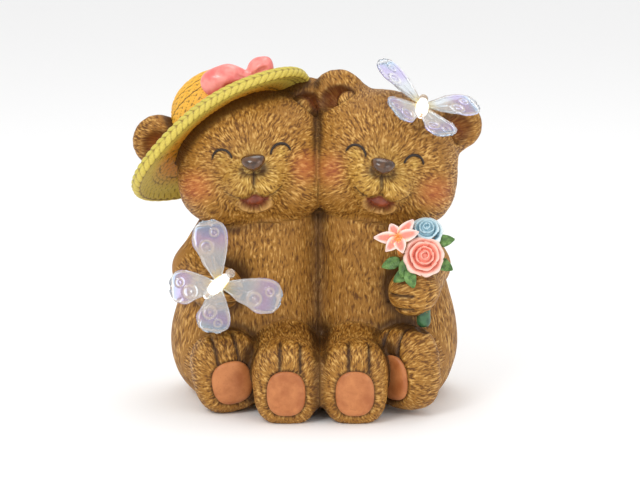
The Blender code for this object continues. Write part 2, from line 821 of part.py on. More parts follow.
PINK_ROSE_CENTRE = (71.5, -66, 114)
BLUE_ROSE_CENTRE = (73.5, -55, 129)
LILY_CENTRE = (54, -62, 126)
STEM_FOOT = (72.5, -52, 62)
STEM_HEAD = (70, -52, 112)
PETAL_WAYS = [(-16, -4, 1), (-5, 3, 9), (10.5, 2, 12), (13.5, -5, 5), (3, -9, -8), (-8, -9, -7)]
# Each leaf: its place from the middle of the pink rose, then its heading in the picture plane.
LEAVES = [
    (-22, 6, -6, 200),
    (-13, 1, -8, 250),
    (-15, 3, -14, 215),
    (-9, -1, -15, 290),
    (14.5, 10, 9, 10),
    (14, 6, -7, -30),
]


def rose_field(points, centre, radius, ways, turns=2.6):
    """A cup of overlapping petals: a spiral of raised rims round the flower's axis."""
    axis = np.array(ways) / np.linalg.norm(ways)
    local = points - np.array(centre)
    along = local @ axis
    flat = local - along[:, None] * axis
    side = np.cross(axis, (0, 0, 1.0))
    side /= np.linalg.norm(side)
    angle = np.arctan2(flat @ np.cross(axis, side), flat @ side)
    spread = np.linalg.norm(flat, axis=1) / radius
    phase = (spread * turns - angle / (2 * math.pi)) % 1.0
    lobes = 1 + 0.05 * np.cos(5 * angle)
    cup = ball(local, (0, 0, 0), (radius * 0.94, radius * 0.94, radius * 0.94)) * lobes
    front = np.clip(along / radius, 0, 1)
    return cup + front * radius * 0.20 * (phase - 0.35)


def blade(root, way):
    """One leaf-shaped blade from its root along way: its middle, its half sizes and its frame."""
    way = np.array(way, float)
    length = np.linalg.norm(way)
    ahead = way / length
    out = np.array((0.0, -1.0, 0.0)) + ahead * ahead[1]
    out /= np.linalg.norm(out)
    frame = np.array([ahead, np.cross(out, ahead), out])
    radii = (length / 2, BLADE_HALF_WIDTH / SHARE, BLADE_HALF_THICKNESS / SHARE)
    return np.array(root) + way / 2, radii, frame


def blades():
    """The lily's petals and the leaves."""
    petal = LILY_PETAL_LENGTH / SHARE / 17
    made = [blade(LILY_CENTRE, np.array(way) * petal) for way in PETAL_WAYS]
    leaf = LEAF_LENGTH / SHARE
    for across, back, up, heading in LEAVES:
        way = leaf * 1.2 * np.array((math.cos(math.radians(heading)), 0, math.sin(math.radians(heading))))
        root = np.array(PINK_ROSE_CENTRE) + (across, back, up) - way / 2
        made.append(blade(root, way + (0, -2, 0)))
    return made


def bouquet_field(points):
    pink = rose_field(points, PINK_ROSE_CENTRE, PINK_ROSE_RADIUS / SHARE, (0.05, -0.9, 0.3))
    blue = rose_field(points, BLUE_ROSE_CENTRE, BLUE_ROSE_RADIUS / SHARE, (0.0, -0.7, 0.7))
    flowers = np.minimum(pink, blue)
    for middle, radii, frame in blades():
        flowers = np.minimum(flowers, ball(points, middle, radii, frame))
    throat = np.array(LILY_CENTRE) + (3, 6, -14)
    flowers = melt(flowers, limb(points, LILY_CENTRE, throat, 4.2, 2.4), 1.5)
    nest = limb(points, (62, -58, 112), (74, -56, 118), 8.5, 8.5)
    flowers = melt(flowers, nest, 1.0)
    return np.maximum(flowers, CASTING_GAP / SHARE - bears_field(points))


def rough_bouquet():
    bm = bmesh.new()
    add_ball(bm, PINK_ROSE_CENTRE, [PINK_ROSE_RADIUS / SHARE] * 3)
    add_ball(bm, BLUE_ROSE_CENTRE, [BLUE_ROSE_RADIUS / SHARE] * 3)
    for middle, radii, frame in blades():
        add_ball(bm, middle, radii, frame)
    add_limb(bm, LILY_CENTRE, np.array(LILY_CENTRE) + (3, 6, -14), 4.2, 2.4)
    add_limb(bm, (62, -58, 112), (74, -56, 118), 8.5, 8.5)
    return new_object("bouquet", bm)


def stem(name, grow=0.0, longer=0.0):
    foot, head = np.array(STEM_FOOT) * SHARE, np.array(STEM_HEAD) * SHARE
    along = (head - foot) / np.linalg.norm(head - foot)
    foot = foot - along * longer
    bm = bmesh.new()
    length = float(np.linalg.norm(head - foot))
    bmesh.ops.create_cone(
        bm, cap_ends=True, segments=12, radius1=STEM_RADIUS + grow, radius2=STEM_RADIUS + grow, depth=length
    )
    turned = Vector((0, 0, 1)).rotation_difference(Vector(along)).to_matrix().to_4x4()
    bmesh.ops.transform(bm, matrix=Matrix.Translation(Vector((foot + head) / 2)) @ turned, verts=bm.verts)
    return new_object(name, bm)


def make_bouquet():
    bouquet = rough_bouquet()
    remesh(bouquet, 0.9 * SHARE)
    settle(bouquet, bouquet_field, reach=1.2)
    remesh(bouquet, 0.8 * SHARE)
    settle(bouquet, bouquet_field, steps=3, reach=0.8)
    reduce_to(bouquet, FLOWERS_TRIANGLES)
    unite(bouquet, [stem("stem")])
    paint(bouquet, "painted flowers", (0.85, 0.35, 0.33), 0.35)
    return bouquet


# The solar panel and its recess.

def panel_block(name, grow=0.0):
    bm = bmesh.new()
    bmesh.ops.create_cube(bm, size=1.0)
    size = (PANEL_WIDTH + 2 * grow, PANEL_THICKNESS + 2 * grow, PANEL_HEIGHT + 2 * grow)
    bmesh.ops.scale(bm, vec=size, verts=bm.verts)
    if not grow:
        bmesh.ops.bevel(bm, geom=bm.edges[:], offset=PANEL_BEVEL, segments=1, profile=0.5, affect="EDGES")
    block = new_object(name, bm)
    (x, y, z), radii, frame = panel_boss()
    out = (radii[1] * SHARE + PANEL_PROUD - PANEL_THICKNESS / 2) / SHARE
    block.data.transform(place_matrix(np.array((x, y, z)) + out * frame[1], frame))
    return block


def make_panel():
    panel = panel_block("solar_panel")
    paint(panel, "solar cell", (0.02, 0.03, 0.09), 0.2)
    return panel


def make_bears():
    bears = rough_bears()
    remesh(bears, 2.4 * SHARE)
    settle(bears, bears_field, steps=4)
    remesh(bears, VOXEL)
    settle(bears, bears_field, steps=4)
    reduce_to(bears, BEARS_TRIANGLES)
    cut_flat_base(bears)
    for cutter in carved_lines():
        cut(bears, cutter)
    cut(bears, stem("stem_hole", FIT_GAP, 0.02))
    cut(bears, panel_block("panel_recess", FIT_GAP))
    paint(bears, "painted resin", (0.42, 0.22, 0.06), 0.55)
    return bears


def main():
    clear_scene()
    bears = make_bears()
    spots = {
        "paw": insect_place(PAW_INSECT_START, paw_insect_frame()),
        "head": insect_place(HEAD_INSECT_START, head_insect_frame()),
    }
    for spot, place in spots.items():
        make_butterfly(f"butterfly_on_{spot}", place)
        seat_in(bears, f"seat_on_{spot}", place)
    make_bouquet()
    make_panel()


main()
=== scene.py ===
"""The looks of the two resin bears: fur, hat, bouquet, butterflies and solar panel round the solids."""
import bmesh
import bpy
import json
import math
import numpy as np
from mathutils import Matrix, Vector, noise

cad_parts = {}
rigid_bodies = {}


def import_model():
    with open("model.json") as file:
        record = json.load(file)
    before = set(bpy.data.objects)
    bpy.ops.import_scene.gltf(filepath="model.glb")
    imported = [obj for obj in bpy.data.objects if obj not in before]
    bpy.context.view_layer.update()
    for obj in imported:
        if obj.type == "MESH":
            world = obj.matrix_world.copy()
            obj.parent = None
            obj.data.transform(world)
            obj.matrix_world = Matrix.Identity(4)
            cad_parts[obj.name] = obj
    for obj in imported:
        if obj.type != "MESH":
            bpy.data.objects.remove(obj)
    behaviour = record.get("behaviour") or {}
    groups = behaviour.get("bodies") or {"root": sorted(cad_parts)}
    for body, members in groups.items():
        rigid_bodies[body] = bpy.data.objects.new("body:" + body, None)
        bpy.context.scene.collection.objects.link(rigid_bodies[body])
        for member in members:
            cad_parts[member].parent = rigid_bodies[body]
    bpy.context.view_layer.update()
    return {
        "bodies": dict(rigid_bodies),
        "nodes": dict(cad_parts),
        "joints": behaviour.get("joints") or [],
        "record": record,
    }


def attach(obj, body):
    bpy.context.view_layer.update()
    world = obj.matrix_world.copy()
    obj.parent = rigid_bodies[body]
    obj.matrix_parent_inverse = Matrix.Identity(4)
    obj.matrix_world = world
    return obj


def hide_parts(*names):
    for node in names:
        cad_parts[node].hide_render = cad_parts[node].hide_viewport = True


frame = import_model()

STATUE_HEIGHT = 0.240
SHARE = STATUE_HEIGHT / 240

HEAD_CENTRE = (44.0, -8.0, 171.0)
HEAD_ROLLS = {-1: math.radians(6.0), 1: math.radians(-10.0)}
HEAD_RADII = (53, 45, 46.5)
EAR_DEPTH = 10.5
EYE_SPREAD = 19.9
EYE_RADIUS = 6.8
EYE_UP = {-1: 12.0, 1: 9.8}
NOSE_PLACE = {-1: (1.6, 8.0), 1: (-1.6, 5.4)}
MOUTH_PLACE = {-1: (-0.5, -17.3), 1: (1.7, -18.6)}
MOUTH_RADII = (10.4, 13, 7.6)

BRIM_THICKNESS = 0.0044
RIM_THICKNESS = 0.0084
CROWN_RADIUS = 0.0325
CROWN_HEIGHT = 0.037
RIBBON_WIDTH = 0.009
RIBBON_PROUD = 0.0012
BOW_LENGTH = 0.030

PANEL_WIDTH = 0.052
PANEL_HEIGHT = 0.036
PANEL_THICKNESS = 0.005
PANEL_PROUD = 0.0012
PANEL_TILT = math.radians(24)
PANEL_HEIGHT_UP = 0.098
FRAME_RIM = 0.005

WING_THICKNESS = 0.0018
FOREWING_LENGTH = 0.044
FOREWING_WIDTH = 0.025
HINDWING_LENGTH = 0.033
HINDWING_WIDTH = 0.024
INSECT_LENGTH = 0.028
INSECT_RADIUS = 0.0046
SEAT_DEPTH = 0.0012

STEM_RADIUS = 0.0048
PINK_ROSE_RADIUS = 0.0125
BLUE_ROSE_RADIUS = 0.0105
LILY_PETAL_LENGTH = 0.0170
LEAF_LENGTH = 0.011

TOE_SHIFTS = {0: 0.0, 1: 0.12}
TOE_SPREAD = 0.31
FINGER_LEVELS = (-0.62, -0.02)


# Distance fields. Points are rows of coordinates in shares of the height, and so are all results.

def turn_about_x(angle):
    """Rows of a frame leant back."""
    c, s = math.cos(angle), math.sin(angle)
    return np.array([(1.0, 0.0, 0.0), (0.0, c, -s), (0.0, s, c)])


def turn_about_y(angle):
    """Rows of a frame rolled in the picture plane, counter-clockwise as seen from the front."""
    c, s = math.cos(angle), math.sin(angle)
    return np.array([(c, 0.0, s), (0.0, 1.0, 0.0), (-s, 0.0, c)])


def turn_about_z(angle):
    """Rows of a frame swivelled, counter-clockwise as seen from above."""
    c, s = math.cos(angle), math.sin(angle)
    return np.array([(c, s, 0.0), (-s, c, 0.0), (0.0, 0.0, 1.0)])


def ball(points, centre, radii, frame=None):
    """Near distance to an ellipsoid whose axes are the rows of frame."""
    local = points - np.array(centre)
    if frame is not None:
        local = local @ frame.T
    radii = np.array(radii)
    size = np.linalg.norm(local / radii, axis=1)
    slope = np.linalg.norm(local / radii**2, axis=1)
    return size * (size - 1) / np.maximum(slope, 1e-9)


def cushion(points, centre, radii, frame, power=2.8):
    """Near distance to a squarer ellipsoid."""
    local = (points - np.array(centre)) @ frame.T
    size = (np.abs(local / np.array(radii)) ** power).sum(axis=1) ** (1 / power)
    return (size - 1) * np.linalg.norm(local, axis=1) / np.maximum(size, 1e-9)


def limb(points, start, end, start_radius, end_radius):
    """Distance to a rod with round ends whose radius changes from start to end."""
    start, end = np.array(start), np.array(end)
    span = end - start
    along = np.clip((points - start) @ span / (span @ span), 0, 1)
    closest = start + along[:, None] * span
    return np.linalg.norm(points - closest, axis=1) - (start_radius + (end_radius - start_radius) * along)


def tube(points, route, radius):
    """Distance to a bent rod through the points of route."""
    return np.min([limb(points, a, b, radius, radius) for a, b in zip(route[:-1], route[1:])], axis=0)


def melt(a, b, radius):
    """Union with a fillet."""
    share = np.clip(0.5 + 0.5 * (b - a) / radius, 0, 1)
    return b + (a - b) * share - radius * share * (1 - share)


def joined(masses, fillet):
    """Union of several masses, each with the same fillet."""
    whole = masses[0]
    for mass in masses[1:]:
        whole = melt(whole, mass, fillet)
    return whole


def carve(a, cutter, radius):
    """Cut with a rounded edge."""
    return -melt(-a, cutter, radius)


def arc(centre, radius, first, last, count=9):
    """Points on an arc in the picture plane, angles counter-clockwise from +X."""
    angles = np.radians(np.linspace(first, last, count))
    return [(centre[0] + radius * math.cos(t), centre[1], centre[2] + radius * math.sin(t)) for t in angles]


# The two bears. Side is -1 for the one in the hat and 1 for the one with the flowers.

TORSOS = {
    -1: [
        ((-44, 6, 58), (52, 43, 62)),
        ((-38, 2, 106), (42, 37, 48)),
        ((-70, 8, 38), (34, 42, 42)),
        ((-27, 0, 134), (31, 30, 24)),
    ],
    1: [
        ((43, 6, 58), (51, 43, 62)),
        ((38, 2, 106), (41, 37, 48)),
        ((64, 8, 36), (34, 42, 40)),
        ((27, 0, 134), (31, 30, 24)),
    ],
}
SEATS = {-1: ((-37, 5, 22), (52, 44, 28)), 1: ((37, 5, 22), (52, 44, 28))}
ARMS = {
    -1: [((-66, 2, 121), (-83, -12, 94), 17, 17.5), ((-83, -12, 94), (-73, -46, 86), 17.5, 13.5)],
    1: [((63, 2, 121), (76, -8, 95), 16, 15.5), ((76, -8, 95), (70, -44, 87), 15.5, 14)],
}
PAWS = {-1: ((-67, -52, 89), (16, 13, 15)), 1: ((64.5, -51, 86), (16.5, 14, 17))}
LEGS = {
    -1: [((-70, -4, 34), (-64, -31, 30), 30, 22), ((-28, -6, 40), (-21, -58, 31), 27, 23)],
    1: [((66, -4, 34), (58, -32, 33), 28, 22), ((30, -6, 40), (24, -58, 31), 26, 23)],
}
# Each foot: centre of the sole, half width and half height, how far the sole turns and how far it rolls.
FEET = {
    -1: [((-59.0, -60, 28), (24, 28), 14, 10), ((-21.5, -85, 27), (22.5, 29), 0, 0)],
    1: [((49.5, -60, 32), (23, 29), -46, 6), ((25.0, -85, 27), (22.5, 29), 0, 0)],
}
FOOT_DEPTH = 17
PAD_DROP = -4.5
PAD_SHARE = (0.60, 0.56)
EARS = {
    -1: [((-110.5, 6, 180.5), 18.5), ((-7, 8, 207), 18)],
    1: [((14, 5, 212), 19), ((96.5, 5, 192), 17.5)],
}
TAILS = {-1: ((-50, 52, 18), (12, 12, 12)), 1: ((48, 52, 18), (12, 12, 12))}


def panel_frame():
    """Across, out of the back and up the panel."""
    return turn_about_x(-PANEL_TILT)


def panel_boss():
    """The cushion of resin between the two backs that carries the panel."""
    radii = np.array((PANEL_WIDTH / 2 + FRAME_RIM * 1.8, 0.014, PANEL_HEIGHT / 2 + FRAME_RIM * 1.8)) / SHARE
    return (0, 34, PANEL_HEIGHT_UP / SHARE), radii, panel_frame()


def head_frame(side):
    """Rows of the head's own frame: across, back and up."""
    return turn_about_y(HEAD_ROLLS[side])


def head_point(side, across, out, up):
    """A place on the head, from the head's centre along its own axes; out is towards the viewer."""
    x, y, z = HEAD_CENTRE
    return np.array((side * x, y, z)) + np.array((across, -out, up)) @ head_frame(side)


def head_field(points, side):
    """The skull with its cheeks, muzzle and chin, before the face is cut."""
    frame = head_frame(side)
    skull = ball(points, head_point(side, 0, 0, 1), HEAD_RADII, frame)
    for across in (-26, 26):
        cheek = ball(points, head_point(side, across, 9, -16), (27, 33, 25), frame)
        skull = melt(skull, cheek, 10)
    muzzle = ball(points, head_point(side, 0, 38, -7), (23, 20, 17.5), frame)
    skull = melt(skull, muzzle, 9)
    across, up = MOUTH_PLACE[side]
    chin = ball(points, head_point(side, across, 37, up - 3.5), (14.5, 18, 9.5), frame)
    return melt(skull, chin, 5)


def puffs_field(points, side):
    """The two cushions of the upper lip, which overhang the mouth."""
    across, up = MOUTH_PLACE[side]
    places = [head_point(side, across * 0.5 + way * 8.8, 47.5, up + 9.5) for way in (-1, 1)]
    return np.minimum(*[ball(points, place, (11.6, 12.5, 10.6), head_frame(side)) for place in places])


def mouth_field(points, side):
    """The hole of the open mouth."""
    across, up = MOUTH_PLACE[side]
    return ball(points, head_point(side, across, 57, up + 0.4), MOUTH_RADII, head_frame(side))


def face_field(points, side, skull):
    """The head with its open mouth, tongue, upper lip and nose."""
    frame = head_frame(side)
    skull = carve(skull, mouth_field(points, side), 1.2)
    across, up = MOUTH_PLACE[side]
    tongue = ball(points, head_point(side, across, 42.5, up - 1.4), (8.6, 10, 6.0), frame)
    skull = melt(skull, tongue, 1.0)
    skull = melt(skull, puffs_field(points, side), 3.0)
    across, up = NOSE_PLACE[side]
    nose = ball(points, head_point(side, across, 59.5, up), (7.7, 6.8, 5.2), frame)
    return melt(skull, nose, 0.8)


def foot_parts(side, index):
    """A foot's centre, its half sizes and its frame: across, into the foot and up the sole."""
    (x, y, z), (half_width, half_height), turn, roll = FEET[side][index]
    frame = turn_about_y(math.radians(roll)) @ turn_about_z(math.radians(turn))
    centre = np.array((x, y, z)) + FOOT_DEPTH * frame[1]
    return centre, (half_width, FOOT_DEPTH, half_height), frame


def foot_field(points, side, index):
    return cushion(points, *foot_parts(side, index))


def ear_field(points, side, index):
    centre, radius = EARS[side][index]
    frame = head_frame(side)
    return ball(points, centre, (radius, EAR_DEPTH, radius), frame)


def ear_hollow(points, side, index):
    """The scoop in the front of an ear."""
    centre, radius = EARS[side][index]
    place = np.array(centre) + (0, -12.5, -0.5)
    return ball(points, place, (radius * 0.60, 7.5, radius * 0.46), head_frame(side))


def bear_field(points, side):
    """One bear: body, legs, arm and head, each joined with its own fillet."""
    body = joined([ball(points, *mass) for mass in TORSOS[side]], 12)
    body = melt(body, cushion(points, *SEATS[side], np.eye(3)), 8)
    for index, bone in enumerate(LEGS[side]):
        leg = melt(limb(points, *bone), foot_field(points, side, index), 6)
        body = melt(body, leg, 4)
    arm = joined([limb(points, *bone) for bone in ARMS[side]], 5)
    arm = melt(arm, ball(points, *PAWS[side]), 5)
    body = melt(body, arm, 4)
    head = head_field(points, side)
    for index in (0, 1):
        head = melt(head, ear_field(points, side, index), 11)
    for index in (0, 1):
        head = carve(head, ear_hollow(points, side, index), 5.5)
    return melt(body, face_field(points, side, head), 4)


# The straw hat, in its own frame: across, back and up the hat's axis.

HAT_CENTRE = (-65.4, 4, 193.4)
HAT_ROLL = math.radians(36.6)
HAT_PITCH = math.radians(28)
HAT_FRAME = turn_about_x(HAT_PITCH) @ turn_about_y(HAT_ROLL)
BRIM_REACH = {"left": 79, "right": 67, "front": 54, "back": 57}
BRIM_DROP = {"left": 6.0, "right": 7.0, "front": 2.0, "back": 28}


def by_side(table, angle):
    """A smooth value round the hat from the ones at its four sides."""
    across, back = np.cos(angle), np.sin(angle)
    sides = (table["right"] + table["left"]) / 2 + across * (table["right"] - table["left"]) / 2
    ends = (table["front"] + table["back"]) / 2 + back * (table["back"] - table["front"]) / 2
    return sides * across**2 + ends * back**2


def brim_height(across, back):
    """The middle of the brim: it leaves the crown level and droops towards its rim."""
    angle = np.arctan2(back, across)
    radius = np.hypot(across, back)
    crown = CROWN_RADIUS / SHARE
    reach = np.clip((radius - crown + 6) / (by_side(BRIM_REACH, angle) - crown + 6), 0, 1.3)
    return -by_side(BRIM_DROP, angle) * reach**1.6


def brim_half(across, back):
    """Half the brim's thickness, which swells into a rolled rim."""
    angle = np.arctan2(back, across)
    inward = by_side(BRIM_REACH, angle) - np.hypot(across, back)
    swell = np.clip(1 - inward / 11, 0, 1)
    thin, thick = BRIM_THICKNESS / SHARE / 2, RIM_THICKNESS / SHARE / 2
    return thin + (thick - thin) * swell * swell * (3 - 2 * swell)


def hat_local(points):
    """Points in the hat's own frame, from the middle of the crown's foot."""
    return (points - np.array(HAT_CENTRE)) @ HAT_FRAME.T


def hat_field(points):
    """The hat: its brim with the rolled rim, the squared dome of the crown, and the ribbon."""
    across, back, up = hat_local(points).T
    angle = np.arctan2(back, across)
    radius = np.hypot(across, back)
    half = brim_half(across, back)
    edge = half * 0.96
    slab = np.abs(up - brim_height(across, back)) * 0.9 - half + edge
    rim = radius - by_side(BRIM_REACH, angle) + edge
    brim = np.hypot(np.maximum(slab, 0), np.maximum(rim, 0)) + np.minimum(np.maximum(slab, rim), 0) - edge
    crown_radius, crown_height = CROWN_RADIUS / SHARE, CROWN_HEIGHT / SHARE
    local = np.stack([across, back, up], axis=1)
    dome = cushion(local, (0, 0, 0), (crown_radius, crown_radius, crown_height), np.eye(3), 2.6)
    ring = np.abs(radius - crown_radius * 0.97)
    band_half = RIBBON_WIDTH / SHARE / 2
    band = np.hypot(np.maximum(ring - 0.5, 0), np.maximum(np.abs(up - band_half) - band_half + 1, 0))
    crown = np.minimum(dome, band - RIBBON_PROUD / SHARE)
    return melt(brim, crown, 2)


BOW_KNOT = (-48.3, -23, 229)


def bow_parts():
    """For each loop of the bow: its middle, its half sizes, its frame, and the fold inside it."""
    length = BOW_LENGTH / SHARE
    left_turn, right_turn = turn_about_y(math.radians(12)), turn_about_y(math.radians(28))
    left = np.array(BOW_KNOT) + (-length * 0.52, -1, -1.6)
    right = np.array(BOW_KNOT) + (length * 0.30, 2, 6.5)
    return [
        (left, (length * 0.55, 8.5, 11.0), left_turn, left + (5, -9.5, -4), (length * 0.24, 4.2, 3.4)),
        (right, (length * 0.32, 7.5, 8.0), right_turn, right + (1.5, -8.5, -1), (length * 0.17, 4, 3.4)),
    ]


def bow_field(points):
    """Two loops and a knot on the front of the crown."""
    bow = ball(points, BOW_KNOT, (5, 6, 5.5))
    for middle, radii, frame, fold, fold_radii in bow_parts():
        loop = carve(ball(points, middle, radii, frame), ball(points, fold, fold_radii, frame), 1.5)
        bow = melt(bow, loop, 1.5)
    return bow


def side_by_side(points):
    """Both bears, cheek to cheek with a crease and body to body with a soft valley."""
    valley = 2.0 + 9.0 * np.clip((136 - points[:, 2]) / 12, 0, 1)
    return melt(bear_field(points, -1), bear_field(points, 1), valley)


def with_tails_and_boss(points, body):
    """Joins both tails and the panel's boss to a body."""
    for side in (-1, 1):
        body = melt(body, ball(points, *TAILS[side]), 4)
    return melt(body, cushion(points, *panel_boss()), 4)


def bears_field(points):
    """The whole casting, with its hat and bow."""
    both = np.minimum(side_by_side(points), hat_field(points))
    both = np.minimum(both, bow_field(points))
    return with_tails_and_boss(points, both)


# Meshes and attributes.

# The node and the material slot of each casting.
CASTING = ("bears", "painted_resin")
FLOWERS = ("bouquet", "painted_flowers")
FUR_VOXEL = 1.22 * SHARE
FUR_RELIEF = 0.30
EYE_LINE_SEAT = 0.45
NOSE_OUT = 59.6
NOSE_RADII = np.array((8.0, 7.3, 5.7))
NOSE_SEAT = 1.2
STEM_CLEARANCE = 0.3


def new_piece(name, mesh):
    """A smooth object in the scene."""
    thing = bpy.data.objects.new(name, mesh)
    bpy.context.scene.collection.objects.link(thing)
    mesh.shade_smooth()
    return thing


def mesh_of(name, bm):
    """A mesh from a bmesh, which is freed."""
    mesh = bpy.data.meshes.new(name)
    bm.to_mesh(mesh)
    bm.free()
    return mesh


def dress(thing, material):
    """Gives a remeshed piece of the casting its shading and one material, and puts it in the frame."""
    thing.data.shade_smooth()
    thing.data.materials.clear()
    thing.data.materials.append(material)
    return settle_in(thing, *CASTING)


def apply_modifiers(thing):
    graph = bpy.context.evaluated_depsgraph_get()
    mesh = bpy.data.meshes.new_from_object(thing.evaluated_get(graph))
    thing.modifiers.clear()
    thing.data = mesh


def remesh(thing, voxel):
    modifier = thing.modifiers.new("even", "REMESH")
    modifier.mode = "VOXEL"
    modifier.voxel_size = voxel
    modifier.use_smooth_shade = True
    apply_modifiers(thing)


def corners_of(mesh):
    flat = np.empty(len(mesh.vertices) * 3, np.float32)
    mesh.vertices.foreach_get("co", flat)
    return flat.reshape(-1, 3).astype(float)


def set_corners(mesh, points):
    mesh.vertices.foreach_set("co", points.astype(np.float32).ravel())
    mesh.update()


def normals_of(mesh):
    flat = np.empty(len(mesh.vertices) * 3, np.float32)
    mesh.vertex_normals.foreach_get("vector", flat)
    return flat.reshape(-1, 3).astype(float)


def slope_of(field, points, here, nudge=0.05):
    """The field's slope at each point, given its values there."""
    slope = np.empty_like(points)
    for axis in range(3):
        moved = points.copy()
        moved[:, axis] += nudge
        slope[:, axis] = (field(moved) - here) / nudge
    return slope


def settle(thing, field, steps=4, reach=2.5):
    """Moves each vertex along the field's slope until it lies on the surface."""
    points = corners_of(thing.data) / SHARE
    for _ in range(steps):
        here = field(points)
        slope = slope_of(field, points, here)
        steep = np.maximum((slope**2).sum(axis=1), 0.05)
        points -= slope * np.clip(here / steep, -reach, reach)[:, None]
    set_corners(thing.data, points * SHARE)


def store(mesh, name, values):
    """One number, or one vector, for each vertex."""
    values = np.asarray(values, np.float32)
    kind = "FLOAT" if values.ndim == 1 else "FLOAT_VECTOR"
    attribute = mesh.attributes.new(name, kind, "POINT")
    attribute.data.foreach_set("value" if values.ndim == 1 else "vector", values.ravel())


def near(points, centre, radii, frame=None):
    """1 at a place on the surface, falling smoothly to 0 at radii."""
    local = points - np.array(centre)
    if frame is not None:
        local = local @ frame.T
    share = np.clip(1 - np.linalg.norm(local / np.array(radii), axis=1), 0, 1)
    return share * share * (3 - 2 * share)


# The fur's directions. Each region has an axis, and its strokes run away from it.

def about_axis(points, origin, axis, along):
    """The unit direction round the axis, how far along the stroke, and the distance from the axis."""
    axis = np.array(axis, float) / np.linalg.norm(axis)
    first = np.cross(axis, (0.3, 0.2, 0.9))
    first /= np.linalg.norm(first)
    second = np.cross(axis, first)
    local = points - np.array(origin)
    x, y, height = local @ first, local @ second, local @ axis
    girth = np.maximum(np.hypot(x, y), 1e-3)
    run = {
        "axis": height,
        "disc": girth - height,
        "globe": np.arctan2(girth, height) * 52.0,
    }[along]
    return np.stack([x / girth, y / girth, run], axis=1), girth


def limb_region(points, bone, swell):
    """A limb, a little swollen so that its own fur covers it, with strokes that run down it."""
    start, end = np.array(bone[0]), np.array(bone[1])
    return limb(points, *bone) - swell, about_axis(points, start, end - start, "axis")


def fur_regions(points):
    """For each region: how near its own mass is, and its strokes."""
    regions = []
    for side in (-1, 1):
        head = head_field(points, side)
        regions.append((head, about_axis(points, head_point(side, 0, 8, 2), (0, -1, 0.0), "globe")))
        for index in (0, 1):
            centre, _ = EARS[side][index]
            root = np.array(centre) * 0.45 + head_point(side, 0, 0, 0) * 0.55
            ear = ear_field(points, side, index) - 0.6
            regions.append((ear, about_axis(points, root, (0, -1, 0), "disc")))
            foot = foot_field(points, side, index) - 0.8
            middle, _, turned = foot_parts(side, index)
            pad = np.array(middle) + PAD_DROP * turned[2]
            regions.append((foot, about_axis(points, pad, -turned[1], "disc")))
            regions.append(limb_region(points, LEGS[side][index], 0.4))
        regions.extend(limb_region(points, bone, 0.8) for bone in ARMS[side])
        centre, radii = PAWS[side]
        paw = ball(points, centre, radii) - 0.9
        behind = np.array(centre) + (0, 5, 0)
        regions.append((paw, about_axis(points, behind, (-side, -0.25, -0.2), "axis")))
        torso = np.min([ball(points, *mass) for mass in TORSOS[side]], axis=0)
        regions.append((torso, about_axis(points, (side * 40, 4, 80), (0, 0, -1), "axis")))
    return regions


def fur_lay(points):
    """The stroke coordinates of whichever region each point belongs to, and how near the next region is."""
    regions = fur_regions(points)
    away = np.array([near_by for near_by, _ in regions])
    nearest = np.argmin(away, axis=0)
    rows = np.arange(len(points))
    strokes = np.array([lay for _, (lay, _) in regions])[nearest, rows]
    girths = np.array([girth for _, (_, girth) in regions])[nearest, rows]
    first, second = np.partition(away, 1, axis=0)[:2]
    return strokes, girths, np.clip(1.1 - (second - first) / 0.7, 0, 1)


def clump_heights(strokes, girths, width=3.0, length=15.0):
    """Locks of fur, a few millimetres wide, as a smooth noise along the strokes."""
    heights = np.empty(len(strokes))
    scale = 2.0 ** np.round(np.log2(np.maximum(girths, 6.0) / 6.0)) * 6.0 / width
    for index, ((c, s, run), k) in enumerate(zip(strokes, scale)):
        heights[index] = noise.noise(Vector((c * k, s * k, run / length)))
    return heights


STEM_FOOT = (72.5, -52, 62)
STEM_HEAD = (70, -52, 112)


def fur_skin(points):
    """Both bears with the seats for the other pieces, without the hat and its bow, cut flat underneath."""
    both = with_tails_and_boss(points, side_by_side(points))
    hole = STEM_RADIUS / SHARE + STEM_CLEARANCE
    stem = limb(points, STEM_FOOT, STEM_HEAD, hole, hole)
    return np.maximum(np.maximum(both, -stem), -points[:, 2])


def eye_centre(side, way):
    """The middle of the circle that a closed eye is an arc of, in the head's own frame."""
    return way * EYE_SPREAD, 0, EYE_UP[side] - 3.8


def face_routes(side):
    """Closed eyes, the line under the nose and the ends of the smile, in the head's own frame."""
    (nose, nose_up), (mouth, mouth_up) = NOSE_PLACE[side], MOUTH_PLACE[side]
    shares = np.linspace(0, 1, 7)
    across = nose + (mouth * 0.8 - nose) * shares
    up = nose_up - 4 + (mouth_up + 8 - nose_up) * shares
    routes = [list(zip(across, up))]
    for way in (-1, 1):
        routes.append([(x, z) for x, _, z in arc(eye_centre(side, way), EYE_RADIUS, 165, 15, 7)])
        routes.append(list(zip(mouth + way * (10.5 + 8.5 * shares), mouth_up + 0.4 + 4.6 * shares**1.5)))
    return routes


def pad_ring(side, index, count=18):
    """The outline of a foot's pad in the sole's own frame, a rounded square."""
    _, (half_width, _, half_height), _ = foot_parts(side, index)
    angles = np.linspace(0, 2 * math.pi, count, endpoint=False)
    across, up = np.cos(angles), np.sin(angles)
    reach = (np.abs(across) ** 2.5 + np.abs(up) ** 2.5) ** (-1 / 2.5)
    return across * reach * half_width * PAD_SHARE[0], PAD_DROP + up * reach * half_height * PAD_SHARE[1]


def lay_on(points, inward, field, steps=40):
    """Where points first meet the surface when each moves along its own inward direction."""
    points = points.copy()
    for _ in range(steps):
        points += inward * (field(points) * 0.85)[:, None]
    return points


def toe_shares(index):
    """Where a foot's two toe lines lie, in half widths."""
    return [TOE_SHIFTS[index] + way * TOE_SPREAD for way in (-1, 1)]


